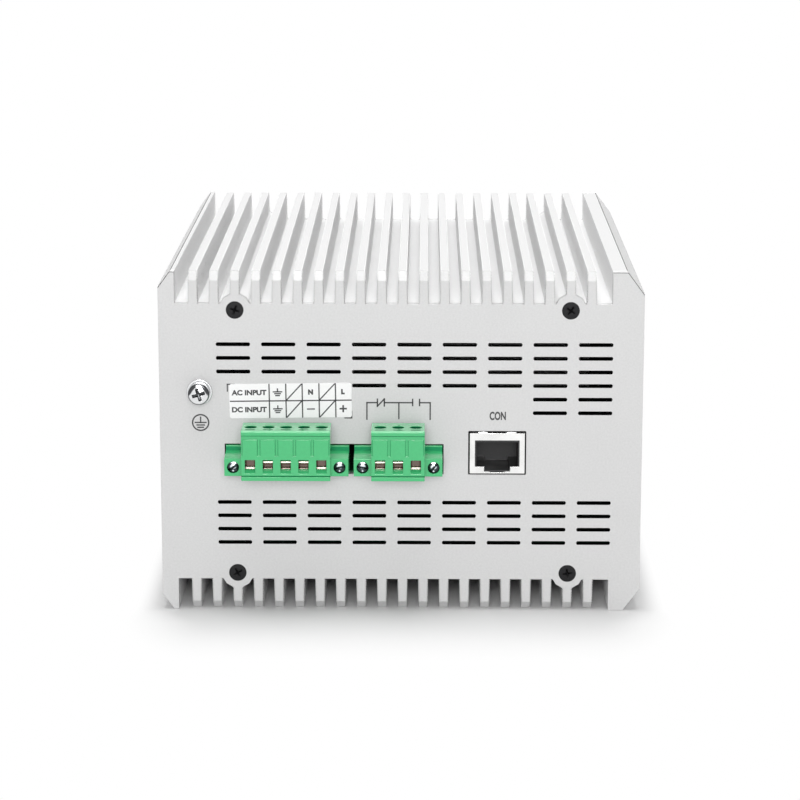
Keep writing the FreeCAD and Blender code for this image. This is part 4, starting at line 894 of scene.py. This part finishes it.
def clamp_jaw(x, bars):
    """Closed jaw block: y = plane - bulge * sqrt(1 - ((z - c) / r)^2) at the bars, with a flat back.

    Bars are (c, r, crest shade). The painted shade is full on the plane and at both sides, deepest below a
    bar as a painted shadow, and falls to the bar's own crest shade on its crest, as a painted highlight.
    """
    z = np.linspace(CLAMP_LOW, CLAMP_HIGH, JAW_ROWS)
    centre, radius, crest_shade = np.array(bars).T[:, :, None]
    crests = np.sqrt(np.clip(1.0 - ((z - centre) / radius) ** 2, 0.0, 1.0))
    crest = crests.max(axis=0)
    # Painted highlight on each bar's crest.
    bright = ((1.0 - crest_shade) * np.sqrt(crests)).max(axis=0)
    below = centre - radius - z
    # Painted shadow under each bar.
    shade = (soft_step(below + 0.1, 0.15) * soft_step(0.5 - below, 0.4)).max(axis=0)
    front = JAW_PLANE - JAW_BULGE * crest
    across = np.linspace(-JAW_HALF, JAW_HALF, JAW_COLUMNS)
    back = [(CLAMP_BACK, CLAMP_HIGH), (CLAMP_BACK, CLAMP_LOW)]
    outline = np.concatenate((np.stack((front, z), axis=1), back))
    points = np.stack(np.broadcast_arrays(x + across[:, None], outline[:, 0], outline[:, 1]), axis=-1)
    painted_jaw_shade = np.append(JAW_DULL + 0.1 * shade - bright, (1.0, 1.0))
    # Painted shade at both sides of the entry.
    edge = soft_step(np.abs(across) - 0.95, 0.4)
    painted_shade = np.clip(painted_jaw_shade + 0.6 * edge[:, None], 0.0, 1.0)
    faces = grid_faces(len(across), len(outline)).tolist()
    first = list(range(len(outline)))
    faces += [first, [corner + len(outline) * (len(across) - 1) for corner in first[::-1]]]
    return points.reshape(-1, 3), faces, painted_shade.ravel()


for kind in POLES:
    parts = [clamp_jaw(x, bars) for x, bars in zip(pole_places(kind), JAWS[kind])]
    new_piece(kind + "_plug_jaws", *gather(parts), "clamp_metal", [kind + "_plug_clamps"])

# %% [markdown]
# ## Moulded detail of the plugs
# The screw wells and the flange holes have round rims, in front of each well is a shallow slit, and there
# are fine grooves on the front: one under the top ledge, one above the bottom lip and one along each side
# of a pad. They could be cut into the plug, but they are so narrow that only their shade shows, so thin bars
# of a deep green lie in them as painted shade, and a deep green tube lines each well as the painted shade of
# its wall. A rim is a small outline turned about the hole's axis, and a bar is a box.

# %% Rims and grooves
RIM = [(1.70, -0.15), (1.75, -0.03), (1.82, 0.015), (1.98, 0.015), (1.98, -0.1), (1.85, -0.15)]
# LINER: a deep green tube inside each well, the painted shade of its wall.
LINER = [(1.70, -3.0), (1.70, -0.16), (1.74, -0.16), (1.74, -3.0)]
RIM_STEPS = 40
PLUG_TOP = solid_box("power_plug")[1][2]
SLIT_Y = -90.15
SLIT_SIZE = (2.75, 0.75)
GROOVE_FLOOR = -91.65
LINE_PROUD = 0.02
LINE_SUNK = 0.1
LINE_INSET = 0.02
LEDGE_SHADE = (54.60, 54.82)
LIP_SHADE = (42.72, 43.12)
PAD_RANGE = (48.85, 53.6)
PAD_GAP = 0.9
PAD_LINE = 0.15


def boxes(corners):
    """Boxes from rows (x0, x1, y0, y1, z0, z1): a ring of four corners at the low z and one at the high z."""
    ends = np.asarray(corners, float).reshape(-1, 3, 2)
    ring = np.array([(0, 0), (1, 0), (1, 1), (0, 1)])
    pick = np.concatenate([np.insert(ring, 2, level, axis=1) for level in (0, 1)])
    points = ends[:, np.arange(3), pick]
    return points.reshape(-1, 3), repeated(closed_bar(4), len(ends)), None


def plug_shades(kind):
    """Boxes in the grooves of one plug: slits on top, two lines right across, and two in each pad gap."""
    middle = MIDDLES[kind]
    half = POLES[kind] * POLE_PITCH / 2
    wide, deep = np.array(SLIT_SIZE) / 2
    front = (GROOVE_FLOOR - LINE_PROUD, GROOVE_FLOOR + LINE_SUNK)
    top = (PLUG_TOP - LINE_SUNK, PLUG_TOP + LINE_PROUD / 2)
    across = (middle - half + LINE_INSET, middle + half - LINE_INSET)
    gaps = middle - half + POLE_PITCH * np.arange(POLES[kind] + 1)
    lines = np.add.outer(gaps, np.array((-1.0, 1.0)) * (PAD_GAP - PAD_LINE) / 2).ravel()
    rows = [(x - wide, x + wide, SLIT_Y - deep, SLIT_Y + deep, *top) for x in pole_places(kind)]
    rows += [(*across, *front, *z) for z in (LEDGE_SHADE, LIP_SHADE)]
    rows += [(x - PAD_LINE / 2, x + PAD_LINE / 2, *front, *PAD_RANGE)
             for x in lines if abs(x - middle) < half]
    return rows


# %% [markdown]
# ## Ears of the plugs
# Beside its poles a plug has two ears, whose sloping shoulders catch the light, with a shelf behind them
# whose
# half shade is painted as a box of darker green. A shoulder is an outline in y and z, carried across the ear:
# that takes six points, and a sculpted block would take hundreds.

# %% Ears, rims and grooves
EAR_FRONT = -88.3
EAR_INSET = 0.04
EAR_SLOPE = [(-80.4, 46.9), (-88.29, 46.9), (-88.29, 47.08), (-88.2, 47.26), (-87.9, 47.36), (-80.4, 47.82)]
EAR_SHADE = (-80.36, -80.1, 47.7, 48.92)


def ear_spans(kind):
    """Left and right end of the two ears of a plug, beside its poles."""
    half = POLES[kind] * POLE_PITCH / 2
    reach = half + POLE_PITCH - EAR_INSET
    return [(MIDDLES[kind] - reach, MIDDLES[kind] - half), (MIDDLES[kind] + half, MIDDLES[kind] + reach)]


def bar_across(outline, left, right):
    """Outline of (y, z) carried along X from left to right, closed at both ends."""
    return np.array([(x, y, z) for x in (left, right) for y, z in outline]), closed_bar(len(outline)), None


for kind in POLES:
    plug = kind + "_plug"
    ears = ear_spans(kind)
    wells = [((x, WELL_Y, PLUG_TOP), True, RIM_STEPS) for x in pole_places(kind)]
    holes = [((x, EAR_FRONT, FLANGE_Z), False, RIM_STEPS) for x in flange_places(kind)]
    new_piece(plug + "_rims", *gather([turned(RIM, *hole) for hole in wells + holes]), "green_plastic")
    new_piece(plug + "_ears", *gather([bar_across(EAR_SLOPE, *span) for span in ears]), "green_plastic")
    grooves = gather([turned(LINER, *hole) for hole in wells] + [boxes(plug_shades(kind))])
    # Boxes of darker green behind the ears, as painted half shade.
    shelves = boxes([(*span, *EAR_SHADE) for span in ears])
    new_piece(plug + "_grooves", *grooves, "green_shade", smooth=False)
    new_piece(plug + "_shelves", *shelves, "green_recess", smooth=False)

# %% [markdown]
# ## Printed lines
# Signs on the panel are ink lines of even width. A picture laid on the panel would blur in a close-up, so
# a line is a flat bar from one point to another. Any sign is then a list of segments, and all bars are
# worked out at once: the corners lie half a width to each side of the segment, a little beyond its ends,
# in front of the panel and just inside it.

# %% Ink lines
INK_THICKNESS = 0.03
RING_STEPS = 72


def segments(path):
    """Segments (x0, z0, x1, z1) between each point of a path and the next."""
    return [(*start, *end) for start, end in zip(path, path[1:])]


def ink_bars(segments, width, face, thickness=INK_THICKNESS):
    """Flat bars along segments (x0, z0, x1, z1): corner = end +/- direction * w/2 +/- normal * w/2."""
    line = np.asarray(segments, float)
    first, last = line[:, :2], line[:, 2:]
    direction = (last - first) / np.linalg.norm(last - first, axis=1, keepdims=True) * width / 2
    normal = np.stack((-direction[:, 1], direction[:, 0]), axis=1)
    corners = np.stack((first - direction - normal, last + direction - normal,
                        last + direction + normal, first - direction + normal), axis=1)
    front = np.insert(corners, 1, face - thickness, axis=2)
    back = np.insert(corners, 1, face + thickness, axis=2)
    bars = np.concatenate((front, back), axis=1)
    return bars.reshape(-1, 3), repeated(closed_bar(4), len(bars)), None


def ink_ring(x, z, radius, width, face):
    """Printed circle: a flat rectangular section carried round its centre."""
    section = [(radius + side * width / 2, out * INK_THICKNESS)
               for side, out in ((-1, 1), (1, 1), (1, -1), (-1, -1))]
    return turned(section, (x, face, z), steps=RING_STEPS)


# %% [markdown]
# ## The earth sign and the relay diagram
# Below the earth screw is the usual earth sign in a circle, and above the small plug a diagram of a relay
# with one closed and one open contact. Both are standard signs, so their segments can be written down.

# %% Earth sign and relay diagram
SIGN_X = -57.72
SIGN_Z = 55.92
SIGN_RADIUS = 2.32
SIGN_RING_WIDTH = 0.42
SIGN_STROKE = 0.38
EARTH_SIGN = [
    (SIGN_X, 57.5, SIGN_X, 55.94),
    (SIGN_X - 1.55, 55.94, SIGN_X + 1.55, 55.94),
    (SIGN_X - 1.05, 55.19, SIGN_X + 1.05, 55.19),
    (SIGN_X - 0.8, 54.5, SIGN_X + 0.8, 54.5),
]
sign = gather([ink_bars(EARTH_SIGN, SIGN_STROKE, -HALF_DEPTH),
               ink_ring(SIGN_X, SIGN_Z, SIGN_RADIUS, SIGN_RING_WIDTH, -HALF_DEPTH)])
new_piece("earth_sign", *sign, "ink", smooth=False)

RAIL_Z = 61.93
RELAY_STROKE = 0.40
RELAY_FOOT = 57.05
RELAY_DIAGRAM = [
    (-9.8, RELAY_FOOT, -9.8, RAIL_Z), (-9.8, RAIL_Z, -6.78, RAIL_Z),
    (-6.78, 60.87, -6.78, 62.95), (-4.79, 60.95, -4.79, 63.0), (-6.78, 60.87, -4.79, 63.0),
    (-4.79, RAIL_Z, 3.36, RAIL_Z), (-0.61, RELAY_FOOT + 0.2, -0.61, RAIL_Z),
    (3.36, 61.1, 3.36, 62.9), (5.34, 61.1, 5.34, 62.9),
    (5.34, RAIL_Z, 8.41, RAIL_Z), (8.41, RELAY_FOOT, 8.41, RAIL_Z),
]
new_piece("relay_diagram", *ink_bars(RELAY_DIAGRAM, RELAY_STROKE, -HALF_DEPTH), "ink", smooth=False)

# %% [markdown]
# ## Joint lines of the housing
# Round the outside of each end plate runs a fine joint, where the plate meets the extruded covers, and
# the extrusions have a fine groove along both edges of each sloped corner. Both are narrower than a
# pixel of the portrait, but they draw the corners. A real gap would need the solids cut, so dark bars lie
# level with the surface. The jack sits in its hole with a little play, which is a dark outline too.

# %% Joint lines
JOINT_WIDTH = 0.16
JOINT_SUNK = 0.72 * JOINT_WIDTH
GAP_MIDDLE = 0.14
GAP_WIDTH = 0.28
CORNERS = [(-64.9, -66.1, -HOUSING_WIDTH / 2, 4.488), (60.5, 64.7, HOUSING_WIDTH / 2, 6.336)]


def joint_path(inner, top, outer, fall):
    """Outline of one corner block from the top, round the side, to the bottom, sunk below the surface."""
    outer -= math.copysign(JOINT_SUNK, outer)
    low = JOINT_SUNK
    high = HOUSING_HEIGHT - JOINT_SUNK
    return segments([(inner, high), (top, high), (outer, high - fall), (outer, low + fall), (top, low),
                     (inner, low)])


def corner_grooves(top, outer, fall):
    """Boxes along both edges of a sloped corner, above and below: their outer faces lie in the surface."""
    rows = []
    for x, z in ((top, HOUSING_HEIGHT), (outer, HOUSING_HEIGHT - fall), (top, 0.0), (outer, fall)):
        x -= math.copysign(JOINT_WIDTH / 2, outer)
        low = z - JOINT_WIDTH if z > HOUSING_HEIGHT / 2 else z
        rows.append((x - JOINT_WIDTH / 2, x + JOINT_WIDTH / 2, -INNER_END, INNER_END, low, low + JOINT_WIDTH))
    return rows


joints = [ink_bars(joint_path(*corner), JOINT_WIDTH, y, JOINT_WIDTH / 2)
          for corner in CORNERS for y in (-INNER_END, INNER_END)]
joints += [ink_bars(joint_path(*corner)[:2], JOINT_WIDTH, y) for corner in CORNERS
           for y in (INK_THICKNESS - HALF_DEPTH, HALF_DEPTH - INK_THICKNESS)]
left, _, low = solid_box("console_jack_shield")[0] - GAP_MIDDLE
right, _, high = solid_box("console_jack_shield")[1] + GAP_MIDDLE
outline = [(left, low), (right, low), (right, high), (left, high), (left, low)]
joints.append(ink_bars(segments(outline), GAP_WIDTH, -HALF_DEPTH))
joints.append(boxes([row for corner in CORNERS for row in corner_grooves(*corner[1:])]))
piece = new_piece("joint_lines", *gather(joints), "cut_edge", smooth=False)

# %% [markdown]
# ## Lettering
# Letters are printed on the panel like the signs. They come from Blender's own font as a curve, because
# drawing letters by hand would take long, and the curve is turned into a mesh and laid onto the panel: its
# x stays x, its y becomes z, and its thickness points out of the panel.

# %% Letters
LEGEND_PLACE = (27.85, 58.1)
LEGEND_HEIGHT = 2.5
LEGEND_STRETCH = 0.64
LEGEND_WEIGHT = 0.035


def letters(name, text, x, z, height, face, tilt=0.0, stretch=1.0, weight=0.0):
    """Text centred on (x, z), with capitals of a given height, turned by tilt, just in front of a face.

    On a face at positive y, text runs the other way: both x and y change sign.
    """
    curve = bpy.data.curves.new(name, "FONT")
    curve.body = text
    curve.align_x = "CENTER"
    curve.align_y = "CENTER"
    curve.offset = weight
    curve.extrude = INK_THICKNESS
    holder = bpy.data.objects.new(name, curve)
    bpy.context.scene.collection.objects.link(holder)
    graph = bpy.context.evaluated_depsgraph_get()
    mesh = bpy.data.meshes.new_from_object(holder.evaluated_get(graph))
    bpy.data.objects.remove(holder)
    flat = np.empty(len(mesh.vertices) * 3)
    mesh.vertices.foreach_get("co", flat)
    flat = flat.reshape(-1, 3)
    middle = (flat.min(0) + flat.max(0)) / 2
    scale = height / (flat[:, 1].max() - flat[:, 1].min())
    u = (flat[:, 0] - middle[0]) * scale * stretch
    v = (flat[:, 1] - middle[1]) * scale
    out = np.sign(flat[:, 2]) * INK_THICKNESS
    way = -math.copysign(1.0, face)
    points = np.stack((x + way * (u * math.cos(tilt) - v * math.sin(tilt)), face - way * out,
                       z + u * math.sin(tilt) + v * math.cos(tilt)), axis=-1)
    faces = [list(polygon.vertices) for polygon in mesh.polygons]
    bpy.data.meshes.remove(mesh)
    return new_piece(name, points, faces, None, "ink", smooth=False)


letters("console_legend", "CON", *LEGEND_PLACE, LEGEND_HEIGHT, -HALF_DEPTH,
        stretch=LEGEND_STRETCH, weight=LEGEND_WEIGHT)

# %% [markdown]
# ## Numbers on the port side
# The portrait doesn't show the port side. Such a panel numbers its ports from the left and names its
# lights, so each opening gets a plain number above it, and each light a short word. The places are read
# from the solids, so the print stays over the openings.

# %% Port numbers
LAN_PORTS = 4
NUMBER_ABOVE = 2.6
NUMBER_HEIGHT = 2.1
NUMBER_WEIGHT = 0.02
LIGHTS = ("PWR", "RUN", "ALM")
LIGHT_PITCH = 5.0
LIGHT_ABOVE = 1.8
LIGHT_HEIGHT = 1.3


def opening_top(node):
    """Ends in x and the height of a solid's top edge, in millimetres."""
    (left, _, _), (right, _, top) = solid_box(node)
    return left, right, top


left, right, top = opening_top("lan_jack_shield")
numbers = [(right - (right - left) * (port + 0.5) / LAN_PORTS, top) for port in range(LAN_PORTS)]
for cage in ("sfp_cage_1", "sfp_cage_2"):
    left, right, top = opening_top(cage)
    numbers.append(((left + right) / 2, top))
for count, (x, top) in enumerate(numbers, 1):
    letters(f"port_number_{count}", str(count), x, top + NUMBER_ABOVE, NUMBER_HEIGHT, HALF_DEPTH,
            weight=NUMBER_WEIGHT)
left, right, top = opening_top("status_lenses")
for count, word in enumerate(LIGHTS, 1):
    x = (left + right) / 2 - LIGHT_PITCH * (count - 2)
    letters(f"light_name_{count}", word, x, top + LIGHT_ABOVE, LIGHT_HEIGHT, HALF_DEPTH)

# %% [markdown]
# ## The terminal label
# A white film label above the terminals shows which pole carries what. It was put on by hand, so it is
# turned by a fraction of a degree, and everything printed on it turns with it. The film could be a plane
# with a picture, but a film has an edge: it is a rounded rectangle in three rings, thick at the panel and
# slightly inset in front.

# %% Label film
LABEL_X = -31.75
LABEL_Z = 62.45
LABEL_WIDTH = 35.2
LABEL_HEIGHT = 10.1
LABEL_THICKNESS = 0.12
LABEL_CORNER = 0.7
LABEL_EDGE = 0.05
LABEL_EDGE_DEPTH = 0.04
LABEL_SUNK = 0.02
LABEL_TILT = math.radians(0.75)
LABEL_FACE = -HALF_DEPTH - LABEL_THICKNESS


def on_label(u, v):
    """Place on the panel of a point that lies u to the right of the label's middle and v above it."""
    x = LABEL_X + u * np.cos(LABEL_TILT) - v * np.sin(LABEL_TILT)
    z = LABEL_Z + u * np.sin(LABEL_TILT) + v * np.cos(LABEL_TILT)
    return x, z


def label_film():
    """Rings of a rounded rectangle: at the panel, at the full thickness, and slightly inset in front."""
    arc = np.linspace(0.0, np.pi / 2, 7)
    turn = (np.arange(4)[:, None] * np.pi / 2 + arc).ravel()
    corner_u = np.repeat((1.0, -1.0, -1.0, 1.0), len(arc))
    corner_v = np.repeat((1.0, 1.0, -1.0, -1.0), len(arc))
    rings = ((0.0, LABEL_SUNK - HALF_DEPTH), (0.0, LABEL_FACE + LABEL_EDGE_DEPTH), (LABEL_EDGE, LABEL_FACE))
    rows = []
    for inset, y in rings:
        u = corner_u * (LABEL_WIDTH / 2 - LABEL_CORNER) + np.cos(turn) * (LABEL_CORNER - inset)
        v = corner_v * (LABEL_HEIGHT / 2 - LABEL_CORNER) + np.sin(turn) * (LABEL_CORNER - inset)
        x, z = on_label(u, v)
        rows.append(np.stack((x, np.full_like(x, y), z), axis=-1))
    count = len(turn)
    faces = grid_faces(len(rings), count).tolist()
    faces += [list(range(count)), list(range((len(rings) - 1) * count, len(rings) * count))]
    return np.concatenate(rows), faces, None


new_piece("terminal_label", *label_film(), "paper")

# %% [markdown]
# ## The label's lines
# The label is a table: a line across, five upright lines, slanted strokes in the empty cells, and earth
# signs. Two corner marks on the panel show where it belongs. They are segments again, given from the
# label's middle and then turned with it.

# %% Label lines
LABEL_STROKE = 0.36
MARK_STROKE = 0.34
CELL_U = (-6.1, -1.3, 3.4, 8.23, 12.97)
ROW_V = (2.5, -2.5)
EARTH_U = -3.7


def label_lines():
    """Grid, slanted strokes and earth signs of the label, as segments turned with it."""
    half = LABEL_HEIGHT / 2
    lines = [(-LABEL_WIDTH / 2 + 0.3, 0.0, LABEL_WIDTH / 2 - 0.2, 0.0)]
    lines += [(u, -half + 0.2, u, half - 0.2) for u in CELL_U]
    for left, right in ((CELL_U[1], CELL_U[2]), (CELL_U[3], CELL_U[4])):
        lines.append((left + 0.3, 0.35, right - 0.3, half - 0.3))
        lines.append((left + 0.3, -half + 0.3, right - 0.3, -0.25))
    for v in ROW_V:
        lines += [(EARTH_U, v + 1.0, EARTH_U, v + 0.15), (EARTH_U - 1.2, v + 0.15, EARTH_U + 1.2, v + 0.15),
                  (EARTH_U - 0.8, v - 0.4, EARTH_U + 0.8, v - 0.4),
                  (EARTH_U - 0.5, v - 0.95, EARTH_U + 0.5, v - 0.95)]
    flat = np.array(lines)
    x0, z0 = on_label(flat[:, 0], flat[:, 1])
    x1, z1 = on_label(flat[:, 2], flat[:, 3])
    return np.stack((x0, z0, x1, z1), axis=1)


new_piece("label_lines", *ink_bars(label_lines(), LABEL_STROKE, LABEL_FACE), "ink", smooth=False)

marks = segments([(-49.9, 65.2), (-49.9, 67.2), (-47.9, 67.2)])
marks += segments([(-16.1, 57.4), (-14.15, 57.4), (-14.15, 59.3)])
new_piece("label_corner_marks", *ink_bars(marks, MARK_STROKE, -HALF_DEPTH), "ink", smooth=False)

# %% [markdown]
# ## The label's letters
# Two words name the supplies, and the poles have the usual letters and signs. Each row below is a name, a
# text, its place from the label's middle, its height, its stretch and its weight.

# %% Label letters
LABEL_WORDS = [
    ("label_word_ac", "AC INPUT", -11.9, ROW_V[0], 1.6, 1.08, 0.045),
    ("label_word_dc", "DC INPUT", -11.9, ROW_V[1], 1.6, 1.08, 0.045),
    ("label_word_neutral", "N", 5.8, ROW_V[0], 1.55, 1.0, 0.075),
    ("label_word_live", "L", 15.1, ROW_V[0], 1.55, 1.0, 0.085),
    ("label_word_minus", "–", 5.8, ROW_V[1], 0.36, 1.2, 0.02),
    ("label_word_plus", "+", 15.1, ROW_V[1], 2.1, 1.0, 0.015),
]
for name, text, u, v, height, stretch, weight in LABEL_WORDS:
    x, z = on_label(u, v)
    letters(name, text, x, z, height, LABEL_FACE, LABEL_TILT, stretch, weight)

# %% [markdown]
# ## The floor
# The portrait has a white ground with one soft shadow round the foot of the box. A floor that only catches
# shadows would hide how it lights the box from below, so this one is a plain pale floor near the box.
# Further out it fades to the white of the background for what the eye, a mirror or clear plastic sees.

# %% Floor
FLOOR_SIZE = 6000.0
FLOOR_DROP = 0.05
FADE_SIDE = 8.0
FADE_ENDS = 50.0
FADE_CORNER = 14.0
CORNER_SPREAD = 1.3
FLOOR_SHADE = 0.80


def seen_directly(tree):
    """1 for what the eye, a mirror or clear plastic sees, and 0 for what only lights other things."""
    rays = add(tree, "ShaderNodeLightPath").outputs
    seen = maths(tree, "MAXIMUM", rays["Is Camera Ray"], rays["Is Glossy Ray"])
    return maths(tree, "MAXIMUM", seen, rays["Is Transmission Ray"])


def away_from_box(tree):
    """Share of the shadow's reach: length of (beside / side reach, in front / end reach).

    Past the ends of the box, the side's edge draws in and softens: beside = |x| - half width + s and
    side reach = FADE_SIDE + CORNER_SPREAD * s, where s is the way past the end, up to FADE_CORNER.
    """
    place = add(tree, "ShaderNodeTexCoord").outputs["Object"]
    beyond = add(tree, "ShaderNodeVectorMath", {0: place}, operation="ABSOLUTE").outputs["Vector"]
    parts = add(tree, "ShaderNodeSeparateXYZ", {"Vector": beyond}).outputs
    front = maths(tree, "MAXIMUM", maths(tree, "SUBTRACT", parts["Y"], HALF_DEPTH * MM), 0.0)
    drawn_in = maths(tree, "MINIMUM", front, FADE_CORNER * MM)
    beside = maths(tree, "ADD", maths(tree, "SUBTRACT", parts["X"], HOUSING_WIDTH / 2 * MM), drawn_in)
    beside = maths(tree, "MAXIMUM", beside, 0.0)
    reach = maths(tree, "MULTIPLY_ADD", drawn_in, CORNER_SPREAD, FADE_SIDE * MM)
    both = add(tree, "ShaderNodeCombineXYZ", {
        "X": maths(tree, "DIVIDE", beside, reach), "Y": maths(tree, "DIVIDE", front, FADE_ENDS * MM)})
    away = add(tree, "ShaderNodeVectorMath", {0: both.outputs["Vector"]}, operation="LENGTH")
    return away.outputs["Value"]


def floor_material():
    """White floor: matt near the box, where the shadow lies, and pure white to the eye further out."""
    material = bpy.data.materials.new("studio floor")
    material.use_nodes = True
    tree = material.node_tree
    tree.nodes.clear()
    fade = add(tree, "ShaderNodeMapRange", {"Value": away_from_box(tree)}, interpolation_type="SMOOTHSTEP")
    lifted = maths(tree, "MULTIPLY", seen_directly(tree), fade.outputs["Result"])
    matt = add(tree, "ShaderNodeBsdfDiffuse", {"Color": (*grey(FLOOR_SHADE), 1.0)})
    white = add(tree, "ShaderNodeEmission", {"Strength": 1.0})
    both = add(tree, "ShaderNodeMixShader", {
        0: lifted, 1: matt.outputs["BSDF"], 2: white.outputs["Emission"]})
    end = add(tree, "ShaderNodeOutputMaterial")
    tree.links.new(both.outputs["Shader"], end.inputs["Surface"])
    return material


half = FLOOR_SIZE / 2
corners = np.array([(-half, -half), (half, -half), (half, half), (-half, half)])
mesh = bpy.data.meshes.new("studio_floor")
mesh.from_pydata((np.insert(corners, 2, -FLOOR_DROP, axis=1) * MM).tolist(), [], [(0, 1, 2, 3)])
floor = bpy.data.objects.new("studio_floor", mesh)
floor.data.materials.append(floor_material())
bpy.context.scene.collection.objects.link(floor)
print("floor", FLOOR_SIZE * MM, "m wide")

# %% [markdown]
# ## Sky and lamps
# A studio picture is lit by large soft boxes in a white room. The sky is white for what the eye, metal and
# clear plastic see, and a plain grey for diffuse light, so that pale surfaces keep their tone. A softbox
# overhead lights the fins' tips and shines down between them, and the floor of each gap lights their
# flanks. A lamp near the camera fills the terminal side, and a wide one the port side. The lamps stay so
# low that the palest finish doesn't turn into plain white.

# %% Sky
SKY_LEVEL = 0.32

world = bpy.data.worlds.new("studio sky")
world.use_nodes = True
bpy.context.scene.world = world
tree = world.node_tree
tree.nodes.clear()
plain = add(tree, "ShaderNodeBackground", {"Color": (1.0, 1.0, 1.0, 1.0), "Strength": SKY_LEVEL})
white = add(tree, "ShaderNodeBackground", {"Color": (1.0, 1.0, 1.0, 1.0), "Strength": 1.0})
sky = add(tree, "ShaderNodeMixShader", {
    0: seen_directly(tree), 1: plain.outputs["Background"], 2: white.outputs["Background"]})
end = add(tree, "ShaderNodeOutputWorld")
tree.links.new(sky.outputs["Shader"], end.inputs["Surface"])
print("sky level", SKY_LEVEL)

# %% Lamps: place and target in metres, width and height, power in watts
LAMPS = {
    "overhead_softbox": ((0.0, -0.12, 1.30), (0.0, -0.12, 0.10), (0.60, 1.00), 8.8),
    "terminal_side_fill": ((0.0, -1.25, 0.40), (0.0, -0.08, 0.06), (0.50, 0.35), 6.85),
    "port_side_fill": ((0.0, 1.10, 0.44), (0.0, 0.08, 0.08), (2.20, 0.50), 9.0),
}
for name, (place, target, size, power) in LAMPS.items():
    lamp = bpy.data.lights.new(name, "AREA")
    lamp.shape = "RECTANGLE"
    lamp.size = size[0]
    lamp.size_y = size[1]
    lamp.energy = power
    holder = bpy.data.objects.new(name, lamp)
    holder.location = place
    x, y, z = np.subtract(target, place)
    holder.rotation_euler = (math.atan2(math.hypot(x, y), -z), 0.0, math.atan2(-x, y))
    holder.visible_camera = False
    bpy.context.scene.collection.objects.link(holder)
print(len(LAMPS), "lamps")
